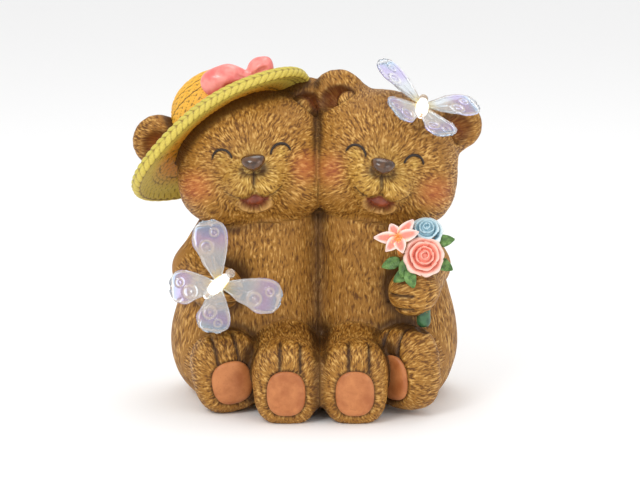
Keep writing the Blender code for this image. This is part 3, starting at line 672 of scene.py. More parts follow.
def toe_route(side, index, share, count=8):
    """One toe line, from above the pad over the toes, with its directions into the foot."""
    centre, (half_width, _, _), frame = foot_parts(side, index)
    steep = np.radians(np.linspace(20, 78, count))
    inward = np.stack([0 * steep, np.cos(steep), -np.sin(steep)], axis=1) @ frame
    aims = np.array(centre) + np.array((share * half_width, 2, 4)) @ frame
    return lay_on(aims - inward * 32, inward, lambda points: foot_field(points, side, index)), inward


def straight_in(flat, field):
    """Lays points in front of the statue on a field, straight back."""
    return lay_on(flat, np.tile((0.0, 1.0, 0.0), (len(flat), 1)), field)


# How far in front of the head's centre a line starts before it is laid on the face.
IN_FRONT = 90
# Half width, depth and darkness of each kind of carved line.
LIP_GROOVE = (1.05, 1.5, 1.0)
EYE_GROOVE = (0.8, 0.5, 1.0)
SMILE_GROOVE = (0.95, 1.3, 0.95)
PAD_GROOVE = (1.0, 1.3, 0.75)
TOE_GROOVE = (1.15, 2.0, 1.0)
FINGER_GROOVE = (1.1, 1.9, 1.0)


def carved_face(side):
    """The lines of one face, in the order of face_routes."""
    grooves = (LIP_GROOVE, EYE_GROOVE, SMILE_GROOVE, EYE_GROOVE, SMILE_GROOVE)
    for groove, route in zip(grooves, face_routes(side)):
        flat = np.array([head_point(side, x, IN_FRONT, z) for x, z in route])
        yield straight_in(flat, lambda points: bear_field(points, side)), *groove


def carved_foot(side, index):
    """The line round one pad and the two between the toes."""
    centre, _, frame = foot_parts(side, index)
    across, up = pad_ring(side, index, 33)
    flat = np.array(centre) + np.stack([across, 0 * up - 24, up], axis=1) @ frame
    inward = np.tile(frame[1], (len(flat), 1))
    ring = lay_on(flat, inward, lambda points: foot_field(points, side, index))
    yield np.concatenate([ring, ring[:1]]), *PAD_GROOVE
    for share in toe_shares(index):
        yield toe_route(side, index, share, 12)[0], *TOE_GROOVE


def carved_paw(side):
    """The lines between the fingers of one paw."""
    (x, _, z), (half_width, _, half_height) = PAWS[side]
    for up in FINGER_LEVELS:
        across = x - side * half_width * np.linspace(0.95, 0.0, 9)
        flat = np.stack([across, 0 * across - 100, 0 * across + z + half_height * up], axis=1)
        yield straight_in(flat, lambda points: bear_field(points, side)), *FINGER_GROOVE


def carved_routes():
    """Each carved line on the surface: its points, half width, depth and how dark its paint is."""
    for side in (-1, 1):
        yield from carved_face(side)
        yield from carved_foot(side, 0)
        yield from carved_foot(side, 1)
        yield from carved_paw(side)


def carve_lines(points):
    """How deep and how dark each point is, from the carved lines near it."""
    depth, dark = np.zeros(len(points)), np.zeros(len(points))
    for route, width, deep, shade in carved_routes():
        low, high = route.min(axis=0) - 5, route.max(axis=0) + 5
        close = np.all((points > low) & (points < high), axis=1)
        away = tube(points[close], route, 0)
        press = np.exp(-((away / width) ** 2))
        depth[close] = np.maximum(depth[close], deep * press)
        dark[close] = np.maximum(dark[close], shade * np.exp(-((away / (width * 1.15)) ** 2)))
    return depth, dark


# Where the red is rubbed in, across and up from the middle of each head, and how wide.
BLUSHES = {-1: [(-39, -10, 20), (34, -4, 15)], 1: [(-33, -8, 15), (37, -11, 20)]}


def face_masks(points, side):
    """Blush, muzzle, lower lip and open mouth of one bear."""
    frame_rows = head_frame(side)
    blush = np.zeros(len(points))
    for x, z, wide in BLUSHES[side]:
        blush = np.maximum(blush, near(points, head_point(side, x, 28, z), (wide, 32, 17), frame_rows))
    muzzle = near(points, head_point(side, 0, 54, -3), (34, 44, 31), frame_rows)
    for way in (-1, 1):
        lid = head_point(side, way * EYE_SPREAD, 38, EYE_UP[side] - 3)
        muzzle = np.maximum(muzzle, near(points, lid, (7.5, 20, 6.5), frame_rows))
    local = (points - head_point(side, 0, 0, 0)) @ frame_rows.T
    across, up = MOUTH_PLACE[side]
    x, z = local[:, 0] - across, local[:, 2] - up
    ring = np.hypot(x / MOUTH_RADII[0], z / MOUTH_RADII[2])
    front = (local[:, 1] < -34) & (z < 2)
    corners = np.clip((12.0 - np.abs(x)) * 0.45, 0, 1)
    lip = np.clip((1.66 - ring) * 6, 0, 1) * np.clip((0.0 - z) * 0.5, 0, 1) * corners * front
    mouth = np.clip((1.02 - ring) * 9, 0, 1) * front * np.clip((puffs_field(points, side) - 0.2) * 2.5, 0, 1)
    return blush, muzzle, lip * (1 - mouth), mouth


def fur_masks(mesh, points):
    """What the paint needs to know: painted shade in the creases and in the valley between the bears, blush,
    muzzle, inner ears, lip and the open mouth.
    """
    outward = normals_of(mesh)
    # Painted shade: darker where the surface near a point closes over it, in creases, under the chins and
    # under the hat's brim.
    painted_shade = np.zeros(len(points))
    for reach, share in ((2.5, 0.30), (8.0, 0.50), (22.0, 0.45)):
        lifted = bears_field(points + outward * reach)
        painted_shade += share * np.clip(1 - lifted / reach, 0, 1)
    x, y, z = points.T
    # Painted shade in the soft valley between the two bodies, on the front below the heads.
    valley = np.exp(-((x / 6.5) ** 2)) * np.clip((144 - z) / 14, 0, 1) * (y < 0)
    store(mesh, "painted_shade", np.maximum(painted_shade, 0.62 * valley))
    faces = [face_masks(points, side) for side in (-1, 1)]
    for name, first, second in zip(("blush", "muzzle", "lip", "mouth"), *faces):
        store(mesh, name, np.maximum(first, second))
    ears = np.zeros(len(points))
    for side in (-1, 1):
        for index in (0, 1):
            centre, radius = EARS[side][index]
            place = np.array(centre) + (0, -8, -1)
            ears = np.maximum(ears, near(points, place, (radius * 0.85, 11, radius * 0.72)))
    store(mesh, "ears", ears)


def add_ball(bm, centre, radii, frame=None):
    """An ellipsoid in shares of the height, its axes the rows of frame."""
    made = bmesh.ops.create_icosphere(bm, subdivisions=3, radius=1.0)
    turned = Matrix(frame.T.tolist()).to_4x4() if frame is not None else Matrix()
    place = Matrix.Translation(Vector(centre)) @ turned @ Matrix.Diagonal((*radii, 1.0))
    bmesh.ops.transform(bm, matrix=Matrix.Scale(SHARE, 4) @ place, verts=made["verts"])


def add_limb(bm, start, end, start_radius, end_radius):
    """A row of overlapping balls that stand for a limb."""
    steps = 6
    for step in range(steps + 1):
        share = step / steps
        centre = np.array(start) * (1 - share) + np.array(end) * share
        radius = start_radius * (1 - share) + end_radius * share
        add_ball(bm, centre, (radius, radius, radius))


def rough_fur():
    """The same masses as overlapping primitives, for the remesh to join."""
    bm = bmesh.new()
    for side in (-1, 1):
        for centre, radii in TORSOS[side]:
            add_ball(bm, centre, radii)
        for start, end, start_radius, end_radius in LEGS[side] + ARMS[side]:
            add_limb(bm, start, end, start_radius, end_radius)
        add_ball(bm, *PAWS[side])
        add_ball(bm, head_point(side, 0, 0, 1), HEAD_RADII, head_frame(side))
        for across in (-27, 27):
            add_ball(bm, head_point(side, across, 9, -19), (27.5, 33, 26), head_frame(side))
        add_ball(bm, head_point(side, 0, 38, -7), (23, 22, 17.5), head_frame(side))
        add_ball(bm, head_point(side, 0, 60, 6.5), (7.6, 6.6, 5.2), head_frame(side))
        add_ball(bm, *TAILS[side])
        add_ball(bm, *SEATS[side])
        for index in (0, 1):
            add_ball(bm, *foot_parts(side, index))
            centre, radius = EARS[side][index]
            add_ball(bm, centre, (radius, EAR_DEPTH, radius), head_frame(side))
    add_ball(bm, *panel_boss())
    return new_piece("bears_fur", mesh_of("bears_fur", bm))


def nose_centre(side):
    """The middle of the glossy nose."""
    across, up = NOSE_PLACE[side]
    return head_point(side, across, NOSE_OUT, up)


def under_nose(points, side):
    """1 where the nose piece lies over the fur."""
    seat = ball(points, nose_centre(side), NOSE_RADII + 0.8, head_frame(side))
    return np.clip(-seat / 1.2, 0, 1)


def make_fur():
    """The furred body of both bears."""
    fur = rough_fur()
    remesh(fur, 2.4 * SHARE)
    settle(fur, fur_skin, steps=4)
    remesh(fur, FUR_VOXEL)
    settle(fur, fur_skin, steps=3, reach=1.5)
    points = corners_of(fur.data) / SHARE
    fur_masks(fur.data, points)
    strokes, girths, seams = fur_lay(points)
    smooth = smooth_places(points)
    depth, dark = carve_lines(points)
    looks = {"seam": seams, "strokes": strokes, "girth": girths, "smooth": smooth, "lines": dark}
    for name, values in looks.items():
        store(fur.data, name, values)
    lift = FUR_RELIEF * clump_heights(strokes, girths) * (1 - smooth) * (1 - seams) - depth
    lift -= NOSE_SEAT * np.max([under_nose(points, side) for side in (-1, 1)], axis=0)
    lift[points[:, 2] < 0.3] = 0
    set_corners(fur.data, (points + normals_of(fur.data) * lift[:, None]) * SHARE)
    dress(fur, fur_material())


def smooth_places(points):
    """Where there is no fur: pads, lips and mouths, and under the base."""
    smooth = np.clip(0.6 - points[:, 2], 0, 1)
    for side in (-1, 1):
        for index in (0, 1):
            middle, (half_width, _, half_height), turned = foot_parts(side, index)
            local = (points - np.array(middle)) @ turned.T
            pad_width, pad_height = half_width * PAD_SHARE[0], half_height * PAD_SHARE[1]
            ring = np.hypot(local[:, 0] / pad_width, (local[:, 2] - PAD_DROP) / pad_height)
            smooth = np.maximum(smooth, np.clip((1.0 - ring) * 12, 0, 1) * (local[:, 1] < 0))
        _, _, lip, mouth = face_masks(points, side)
        smooth = np.max([smooth, lip, mouth, under_nose(points, side)], axis=0)
    return smooth


class Skin:
    """Vertices, faces and named values of one piece, gathered sheet by sheet, in shares of the height."""

    def __init__(self):
        self.points, self.faces, self.values = [], [], {}
        self.count = 0

    def add(self, points, faces, **values):
        self.points.append(points)
        self.faces.extend([[corner + self.count for corner in face] for face in faces])
        for name, numbers in values.items():
            self.values.setdefault(name, []).append(np.asarray(numbers, float))
        self.count += len(points)

    def sheet(self, middle, thickness, **values):
        """A closed sheet about a grid of points, thinner or thicker by place."""
        rows, columns = middle.shape[:2]
        normal = np.cross(np.gradient(middle, axis=0), np.gradient(middle, axis=1))
        normal /= np.maximum(np.linalg.norm(normal, axis=2, keepdims=True), 1e-9)
        half = (np.ones((rows, columns)) * thickness / 2)[:, :, None]
        points = np.concatenate([middle + normal * half, middle - normal * half]).reshape(-1, 3)
        index = np.arange(rows * columns).reshape(rows, columns)
        under = index + rows * columns
        quads = np.stack([index[:-1, :-1], index[1:, :-1], index[1:, 1:], index[:-1, 1:]], axis=2)
        quads = quads.reshape(-1, 4)
        faces = quads.tolist() + (quads[:, ::-1] + rows * columns).tolist()
        rim = np.concatenate([index[0, :-1], index[:-1, -1], index[-1, :0:-1], index[:0:-1, 0]])
        low = np.concatenate([under[0, :-1], under[:-1, -1], under[-1, :0:-1], under[:0:-1, 0]])
        around = np.roll(rim, -1), np.roll(low, -1)
        faces += np.stack([rim, around[0], around[1], low], axis=1).tolist()
        for name, numbers in values.items():
            values[name] = np.tile(np.asarray(numbers, float).reshape(-1), 2)
        self.add(points, faces, **values)

    def rings(self, grid, **values):
        """A closed skin from rings of points, filled at both ends."""
        rows, columns = grid.shape[:2]
        index = np.arange(rows * columns).reshape(rows, columns)
        after = np.roll(index, -1, axis=1)
        faces = np.stack([index[:-1], index[1:], after[1:], after[:-1]], axis=2).reshape(-1, 4).tolist()
        faces += [index[0].tolist(), index[-1, ::-1].tolist()]
        for name, numbers in values.items():
            values[name] = np.asarray(numbers, float).reshape(-1)
        self.add(grid.reshape(-1, 3), faces, **values)

    def piece(self, name, material, node, slot):
        mesh = bpy.data.meshes.new(name)
        mesh.from_pydata((np.concatenate(self.points) * SHARE).tolist(), [], self.faces)
        bm = bmesh.new()
        bm.from_mesh(mesh)
        bmesh.ops.recalc_face_normals(bm, faces=bm.faces[:])
        bm.to_mesh(mesh)
        bm.free()
        for value, numbers in self.values.items():
            store(mesh, value, np.concatenate(numbers))
        thing = new_piece(name, mesh)
        mesh.materials.append(material)
        return settle_in(thing, node, slot)


def settle_in(thing, node, slot):
    """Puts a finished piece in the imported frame."""
    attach(thing, "root")
    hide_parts(node)
    return thing


def swept(route, radii, sectors=10):
    """Rings of a tube along a route, with its radius at each place."""
    route = np.asarray(route, float)
    ahead = np.gradient(route, axis=0)
    ahead /= np.linalg.norm(ahead, axis=1, keepdims=True)
    out = np.array((0.0, -1.0, 0.0)) - ahead * ahead @ np.array((0.0, -1.0, 0.0))[:, None]
    out /= np.linalg.norm(out, axis=1, keepdims=True)
    beside = np.cross(ahead, out)
    turns = np.linspace(0, 2 * math.pi, sectors, endpoint=False)
    ring = out[:, None, :] * np.cos(turns)[None, :, None] + beside[:, None, :] * np.sin(turns)[None, :, None]
    return route[:, None, :] + ring * np.asarray(radii, float)[:, None, None]


# The faces.

def globe(centre, radii, frame_rows, shape=None, rows=24, columns=36):
    """Rings of an ellipsoid about the frame's third axis; shape bends its unit points."""
    steep = np.linspace(0.03, math.pi - 0.03, rows)[:, None]
    around = np.linspace(0, 2 * math.pi, columns, endpoint=False)[None, :]
    sides = np.sin(steep)
    unit = np.stack([sides * np.cos(around), sides * np.sin(around), np.cos(steep) + 0 * around], axis=2)
    if shape is not None:
        unit = shape(unit)
    return np.array(centre) + (unit * np.array(radii)) @ frame_rows


def nose_shape(unit):
    """Broad above, narrow below, flatter on top."""
    unit = unit.copy()
    unit[:, :, 0] *= 1 + 0.26 * unit[:, :, 2]
    unit[:, :, 2] = np.minimum(unit[:, :, 2], 0.78 + 0.22 * unit[:, :, 2]) - 0.10 * (1 - unit[:, :, 0] ** 2)
    return unit


def make_faces():
    """The noses, the lines of the closed eyes and the tongues."""
    noses, eyes, tongues = Skin(), Skin(), Skin()
    for side in (-1, 1):
        rows = head_frame(side)
        noses.rings(globe(nose_centre(side), NOSE_RADII, rows, nose_shape))
        across, up = MOUTH_PLACE[side]
        tongues.rings(globe(head_point(side, across, 43.0, up - 1.4), (8.4, 10.0, 5.8), rows))
        for way in (-1, 1):
            line = arc(eye_centre(side, way), EYE_RADIUS, 172, 8, 15)
            flat = np.array([head_point(side, x, IN_FRONT + 5, z) for x, _, z in line])
            laid = straight_in(flat, lambda points: head_field(points, side))
            steps = np.linspace(0, 1, len(laid))
            laid[:, 1] += EYE_LINE_SEAT
            eyes.rings(swept(laid, 0.35 + 0.62 * np.sin(math.pi * steps) ** 0.6))
    noses.piece("noses", nose_material(), *CASTING)
    eyes.piece("closed_eyes", eye_material(), *CASTING)
    tongues.piece("tongues", tongue_material(), *CASTING)


def make_pads():
    """The four foot pads, slightly domed, with their rims sunk in the soles."""
    pads = Skin()
    for side in (-1, 1):
        for index in (0, 1):
            middle, _, turned = foot_parts(side, index)
            ring_across, ring_up = pad_ring(side, index, 64)
            shares = np.linspace(0.02, 0.97, 16)[:, None]
            x, z = shares * ring_across, PAD_DROP + shares * (ring_up - PAD_DROP)
            flat = np.stack([x, 0 * x - 24, z], axis=2).reshape(-1, 3) @ turned + np.array(middle)
            inward = np.tile(turned[1], (len(flat), 1))
            laid = lay_on(flat, inward, lambda points: foot_field(points, side, index))
            lift = (0.9 * np.sqrt(np.maximum(1 - shares**8, 0)) - 0.9 * shares**14 + 0 * x).reshape(-1)
            front = (laid - inward * lift[:, None]).reshape(x.shape + (3,))
            back = (laid.reshape(x.shape + (3,))[-1] + turned[1] * 2.5)[None]
            pads.rings(np.concatenate([front, back]))
    pads.piece("foot_pads", pad_material(), *CASTING)


# The straw hat.

BAND_WIDTH = 13.0
ROW_WIDTH = 6.3
STRAND = 4.4
CROWN_ROW = 7.4
CROWN_STRAND = 7.0
BRAID_HEIGHT = 0.95
CROWN_SQUARENESS = 2.6


def plaits(share, girth, angle, row, strand):
    """Relief of one plaited row: slanting strands that meet along its middle."""
    count = np.maximum(np.round(2 * math.pi * girth / strand), 3)
    phase = angle / (2 * math.pi) * count + np.abs(share - 0.5) * 2.2 + row * 0.4
    strands = 1 - np.abs(2 * (phase % 1.0) - 1) ** 3
    seam = np.clip(np.abs(share - 0.5) * 12, 0.35, 1)
    edge = 1 - np.abs(2 * share - 1) ** 8
    return edge * (0.2 + 0.8 * strands * seam)


def brim_braid(along, reach, angle):
    """Relief over the rim by the distance along the section, 0 at the outermost point and positive on top."""
    shifted = along + BAND_WIDTH / 2 - 0.3
    beyond = 1 + np.floor((shifted - BAND_WIDTH) / ROW_WIDTH)
    row = np.where(shifted < BAND_WIDTH, np.floor(shifted / BAND_WIDTH), beyond)
    row = np.where(shifted < 0, np.floor(shifted / ROW_WIDTH), row)
    start = np.where(row > 0, BAND_WIDTH + (row - 1) * ROW_WIDTH, row * ROW_WIDTH)
    width = np.where(row == 0, BAND_WIDTH, ROW_WIDTH)
    inward = np.abs(start + width / 2 - BAND_WIDTH / 2)
    girth = np.mean(reach) - inward
    return plaits((shifted - start) / width, girth, angle, row, np.where(row == 0, STRAND * 1.35, STRAND))


def crown_section(rings):
    """Radius, height and length along the crown's section, from its top down."""
    turn = np.linspace(0.02, 1, rings) * math.pi / 2
    radius = CROWN_RADIUS / SHARE * np.sin(turn) ** (2 / CROWN_SQUARENESS)
    up = CROWN_HEIGHT / SHARE * np.cos(turn) ** (2 / CROWN_SQUARENESS)
    return radius, up, np.concatenate([[0], np.cumsum(np.hypot(np.diff(radius), np.diff(up)))]) + radius[0]


def raised(relief):
    """How far the plaits lift the surface, about its mean."""
    return (relief - 0.55) * BRAID_HEIGHT


def crown_part(angle, rings=64):
    """The crown from its top down."""
    radius, up, length = crown_section(rings)
    row = np.floor(length / CROWN_ROW)
    girth = np.interp((row + 0.5) * CROWN_ROW, length, radius)
    share = (length / CROWN_ROW - row)[:, None]
    relief = plaits(share, girth[:, None], angle, row[:, None], CROWN_STRAND)
    slope = (np.linspace(0.02, 1, rings) * math.pi / 2)[:, None]
    lift = raised(relief)
    return radius[:, None] + lift * np.sin(slope), up[:, None] + lift * np.cos(slope), relief, 0.0


def brim_part(angle, reach, level, rings):
    """The brim, outwards on top where level is 1, and back inwards underneath where it is -1."""
    rim = RIM_THICKNESS / SHARE / 2
    middle = reach - rim
    inner = CROWN_RADIUS / SHARE - 1.0 if level > 0 else 1.0
    shares = np.linspace(0, 1, rings)[::level, None]
    flat = inner + (middle - inner) * shares
    across, back = flat * np.cos(angle), flat * np.sin(angle)
    relief = brim_braid(level * (rim * math.pi / 2 + middle - flat), reach, angle)
    lift = brim_half(across, back) + raised(relief)
    return flat, brim_height(across, back) + level * lift, relief, 1.0 if level > 0 else 2.0


def rim_part(angle, reach, rings=18):
    """Round the rolled rim, from the top to the underside."""
    rim = RIM_THICKNESS / SHARE / 2
    turn = np.linspace(math.pi / 2, -math.pi / 2, rings + 2)[1:-1, None]
    relief = brim_braid(rim * turn, reach, angle)
    lift = rim + raised(relief)
    middle = reach - rim
    centre = brim_height(middle * np.cos(angle), middle * np.sin(angle))
    # The rim's lower half leans towards the underside's colour, painted shade under the brim.
    zones = 1.0 + np.clip(0.5 - turn * 0.9, 0, 1)
    return middle + lift * np.cos(turn), centre + lift * np.sin(turn), relief, zones


def hat_sections(sectors=470):
    """Rings over the crown, out along the brim, round its rolled rim and back underneath."""
    angle = np.linspace(0, 2 * math.pi, sectors, endpoint=False)[None, :]
    reach = by_side(BRIM_REACH, angle)
    top, under = brim_part(angle, reach, 1, 48), brim_part(angle, reach, -1, 44)
    return angle, [crown_part(angle), top, rim_part(angle, reach), under]


def make_hat():
    """The straw of the hat in one skin, and its ribbon."""
    angle, sections = hat_sections()
    grids, values = [], {"relief": [], "zone": [], "outward": []}
    for radius, up, relief, zone in sections:
        radius = radius + 0 * up
        local = np.stack([radius * np.cos(angle), radius * np.sin(angle), up], axis=2)
        grids.append(local @ HAT_FRAME + np.array(HAT_CENTRE))
        values["relief"].append(relief + 0 * up)
        values["zone"].append(zone + 0 * up)
        values["outward"].append(radius / by_side(BRIM_REACH, angle))
    hat = Skin()
    hat.rings(np.concatenate(grids), **{name: np.concatenate(numbers) for name, numbers in values.items()})
    hat.piece("straw_hat", straw_material(), *CASTING)
    make_ribbon()


def make_ribbon(sectors=240):
    """The ribbon round the crown, with a few creases along it."""
    angle = np.linspace(0, 2 * math.pi, sectors, endpoint=False)[None, :]
    width = RIBBON_WIDTH / SHARE
    turn = np.linspace(0, 2 * math.pi, 24, endpoint=False)[:, None]
    square = np.sign(np.sin(turn)) * np.abs(np.sin(turn)) ** 0.5
    crease = 0.16 * np.sin(square * 5 + 1.6 * np.sin(angle * 3)) * (np.cos(turn) > 0.1)
    radius = CROWN_RADIUS / SHARE - 0.2 + np.cos(turn) * 1.4 + crease
    up = width / 2 + square * width / 2 + 0 * angle
    base = brim_height(radius * np.cos(angle), radius * np.sin(angle))
    local = np.stack([radius * np.cos(angle), radius * np.sin(angle), up + base + 1.6], axis=2)
    grid = local @ HAT_FRAME + np.array(HAT_CENTRE)
    ribbon = Skin()
    rows, columns = grid.shape[:2]
    index = np.arange(rows * columns).reshape(rows, columns)
    over, after = np.roll(index, -1, axis=0), np.roll(index, -1, axis=1)
    faces = np.stack([index, over, np.roll(over, -1, axis=1), after], axis=2).reshape(-1, 4).tolist()
    ribbon.add(grid.reshape(-1, 3), faces)
    ribbon.piece("hat_ribbon", ribbon_material(), *CASTING)


def bow_folds(points):
    """The bow with creases that run from the knot along its loops."""
    local = (points - np.array(BOW_KNOT)) @ turn_about_y(math.radians(12))
    fan = np.arctan2(local[:, 2], np.abs(local[:, 0]) + 3)
    reach = np.clip(np.abs(local[:, 0]) / 6, 0, 1)
    return bow_field(points) + 0.30 * np.sin(fan * 13) * reach


def make_bow():
    """The bow, remeshed from its loops and knot and then creased."""
    bm = bmesh.new()
    add_ball(bm, BOW_KNOT, (5, 6, 5.5))
    for middle, radii, rows, _, _ in bow_parts():
        add_ball(bm, middle, radii, rows)
    bow = new_piece("hat_bow", mesh_of("hat_bow", bm))
    remesh(bow, 0.9 * SHARE)
    settle(bow, bow_folds, steps=4)
    remesh(bow, 0.5 * SHARE)
    settle(bow, bow_folds, steps=3, reach=0.7)
    dress(bow, ribbon_material())


# The bouquet.

PINK_ROSE_CENTRE = (71.5, -66, 114)
BLUE_ROSE_CENTRE = (73.5, -55, 129)
LILY_CENTRE = (54, -62, 126)
PETAL_WAYS = [(-16, -4, 1), (-5, 3, 9), (10.5, 2, 12), (13.5, -5, 5), (3, -9, -8), (-8, -9, -7)]
# Each leaf: its place from the middle of the pink rose, then its heading in the picture plane.
LEAVES = [
    (-22, 6, -6, 200),
    (-13, 1, -8, 250),
    (-15, 3, -14, 215),
    (-9, -1, -15, 290),
    (14.5, 10, 9, 10),
    (14, 6, -7, -30),
]


def axis_frame(axis, hint=(0, 0, 1.0)):
    """Rows of a frame whose third axis is given."""
    axis = np.array(axis, float) / np.linalg.norm(axis)
    first = np.cross(hint, axis)
    first /= np.linalg.norm(first)
    return np.array([first, np.cross(axis, first), axis])


# Each ring of petals: how many, its radius, its height at the rim and how far its rim rolls out.
ROSE_RINGS = [(2, 0.20, 0.70, 0.00), (3, 0.42, 0.62, 0.16), (3, 0.66, 0.46, 0.34), (4, 0.90, 0.16, 0.52)]


def rose_petal(ring, petal, across, along):
    """One petal on a rose of radius 1: its places and how far up the petal each lies."""
    count, girth, top, roll = ROSE_RINGS[ring]
    turn = 2 * math.pi * (petal / count + 0.19 * ring)
    spread = math.pi / count * 1.22
    edge = 1 - 0.16 * across**2 - 0.05 * np.cos(across * 9)
    rise = along * edge
    angle = turn + across * spread * (0.55 + 0.45 * np.sin(rise * math.pi / 2))
    out = girth * (0.30 + 0.70 * np.sin(np.minimum(rise * 1.25, 1.0) * math.pi / 2))
    out = out + roll * 0.5 * np.maximum(rise - 0.62, 0) ** 1.2 / 0.38
    out = out + 0.035 * across * (1 - 0.4 * ring / 4)
    height = -0.75 + (top + 0.75) * np.sin(rise * math.pi / 2)
    height = height - roll * 0.9 * np.maximum(rise - 0.70, 0) ** 1.5 / 0.3
    return np.stack([out * np.cos(angle), out * np.sin(angle), height], axis=2), rise


def add_rose(skin, centre, radius, axis):
    """Rings of petals that open outwards round a small heart."""
    rows = axis_frame(axis)
    across = np.linspace(-1, 1, 19)[:, None]
    along = np.linspace(0, 1, 15)[None, :]
    thick = 0.95 - 0.45 * along**3 + 0 * across
    for ring, (count, girth, _, _) in enumerate(ROSE_RINGS):
        for petal in range(count):
            local, rise = rose_petal(ring, petal, across, along)
            # How far out from the rose's heart and the petals' roots each place lies; the paint is darker
            # where it is low, painted shade between the petals.
            depth = rise * (0.4 + 0.6 * girth)
            skin.sheet(local * radius @ rows + np.array(centre), thick, depth=depth)
    heart = np.array(centre) - rows[2] * radius * 0.12
    core = globe(heart, (radius * 0.56, radius * 0.56, radius * 0.62), rows)
    skin.rings(core, depth=np.full(core.shape[:2], 0.42))


def add_blade(skin, root, way, width, thickness, curl=0.0, cup=0.25, ruffle=0.0, tip=1.0):
    """One leaf or petal: a pointed blade from its root along way, cupped about its midrib."""
    way = np.array(way, float)
    length = np.linalg.norm(way)
    ahead = way / length
    out = np.array((0.0, -1.0, 0.25)) - ahead * (ahead @ np.array((0.0, -1.0, 0.25)))
    out /= np.linalg.norm(out)
    beside = np.cross(out, ahead)
    along = np.linspace(0.0, 1, 25)[:, None]
    across = np.linspace(-1, 1, 15)[None, :]
    girth = width * (np.sin(math.pi * np.clip(along, 0.02, 0.985) ** (0.78 * tip)) ** 0.8 + 0.05)
    lift = cup * width * across**2 - curl * length * along**2 + ruffle * np.sin(along * 17) * across**2
    rib = 0.35 * np.exp(-((across / 0.12) ** 2)) * (1 - along)
    middle = (
        np.array(root)
        + (along * length + 0 * across)[:, :, None] * ahead
        + (girth * across)[:, :, None] * beside
        + (lift + rib)[:, :, None] * out
    )
    thick = thickness * (1 - 0.55 * across**4) * (1 - 0.4 * along**4)
    skin.sheet(middle, thick, along=along + 0 * across, across=across + 0 * along)


def straight(start, end, count):
    """Even places from start to end, and the share of each."""
    shares = np.linspace(0, 1, count)
    return np.array(start) * (1 - shares[:, None]) + np.array(end) * shares[:, None], shares


def make_roses():
    roses = {
        "pink": (PINK_ROSE_CENTRE, PINK_ROSE_RADIUS, (0.05, -0.9, 0.3)),
        "blue": (BLUE_ROSE_CENTRE, BLUE_ROSE_RADIUS, (0.0, -0.7, 0.7)),
    }
    for name, (centre, radius, axis) in roses.items():
        rose = Skin()
        add_rose(rose, centre, radius / SHARE, axis)
        rose.piece(f"rose_{name}", rose_material(name), *FLOWERS)


def make_lily():
    """Six petals round a throat that narrows into the bunch."""
    lily = Skin()
    petal = LILY_PETAL_LENGTH / SHARE / 17
    for way in PETAL_WAYS:
        add_blade(lily, LILY_CENTRE, np.array(way) * petal, 4.0, 1.1, curl=0.10, cup=0.30)
    route, shares = straight(LILY_CENTRE, np.array(LILY_CENTRE) + (3, 6, -14), 12)
    throat = swept(route, 4.0 - 1.6 * shares, 20)
    none = np.zeros(throat.shape[:2])
    lily.rings(throat, along=none, across=none)
    lily.piece("lily", lily_material(), *FLOWERS)


def make_leaves():
    """Ruffled leaves that look out from under the flowers."""
    leaves = Skin()
    length = LEAF_LENGTH / SHARE * 1.2
    for across, back, up, heading in LEAVES:
        way = length * np.array((math.cos(math.radians(heading)), 0, math.sin(math.radians(heading))))
        root = np.array(PINK_ROSE_CENTRE) + (across, back, up) - way / 2
        add_blade(leaves, root, way + (0, -2, 0), 4.0, 1.1, curl=0.05, cup=0.22, ruffle=0.35)
    leaves.piece("leaves", leaf_material(), *FLOWERS)


def make_stem():
    """The stem through the fist, and the green nest that the flowers sit on."""
    stem = Skin()
    route, shares = straight(STEM_FOOT, STEM_HEAD, 30)
    radii = STEM_RADIUS / SHARE * (1 - 0.35 * np.maximum(0, 1 - shares * 14) ** 2)
    stem.rings(swept(route, radii, 24))
    nest = np.array([(62, -58, 112), (66, -57, 114), (70, -56, 116), (74, -56, 118)], float)
    stem.rings(swept(nest, [6, 8.5, 8.5, 6], 24))
    stem.piece("flower_stem", stem_material(), *FLOWERS)


# The butterflies. Each lies in its own frame: across, towards its head, and out of its back.

WING_ANGLES = {"fore": 57, "hind": 140}
WING_DROPS = {"fore": 0.6, "hind": -0.6}
WING_LIFT = math.radians(9)
PAW_INSECT_START = (-67, -62, 94)
HEAD_INSECT_START = (69.5, -26, 207)


def surface_along(start, direction, field, reach=60.0, step=0.2):
    """The first place on the surface, going from start against a direction."""
    travel = np.arange(0, reach, step)
    line = np.array(start) - travel[:, None] * np.array(direction)
    return line[(field(line) < 0).argmax()]


def insect_centre(start, rows):
    """The middle of a butterfly's body when it sits on the casting below start."""
    place = surface_along(np.array(start) + 20 * rows[2], rows[2], bears_field)
    return place + (INSECT_RADIUS - SEAT_DEPTH) / SHARE * rows[2]


def paw_insect_frame():
    """It faces the viewer, its head to the upper right."""
    heading, lean = math.radians(-47), math.radians(78)
    c, s = math.cos(lean), math.sin(lean)
    return turn_about_z(heading) @ np.array([(1.0, 0.0, 0.0), (0.0, c, s), (0.0, -s, c)])


def head_insect_frame():
    """It sits across the head, tipped to the viewer and rolled outward."""
    roll, lean, turn = math.radians(-27.3), math.radians(-21.4), math.radians(-7.3)
    return turn_about_y(roll) @ turn_about_x(lean) @ turn_about_z(turn)


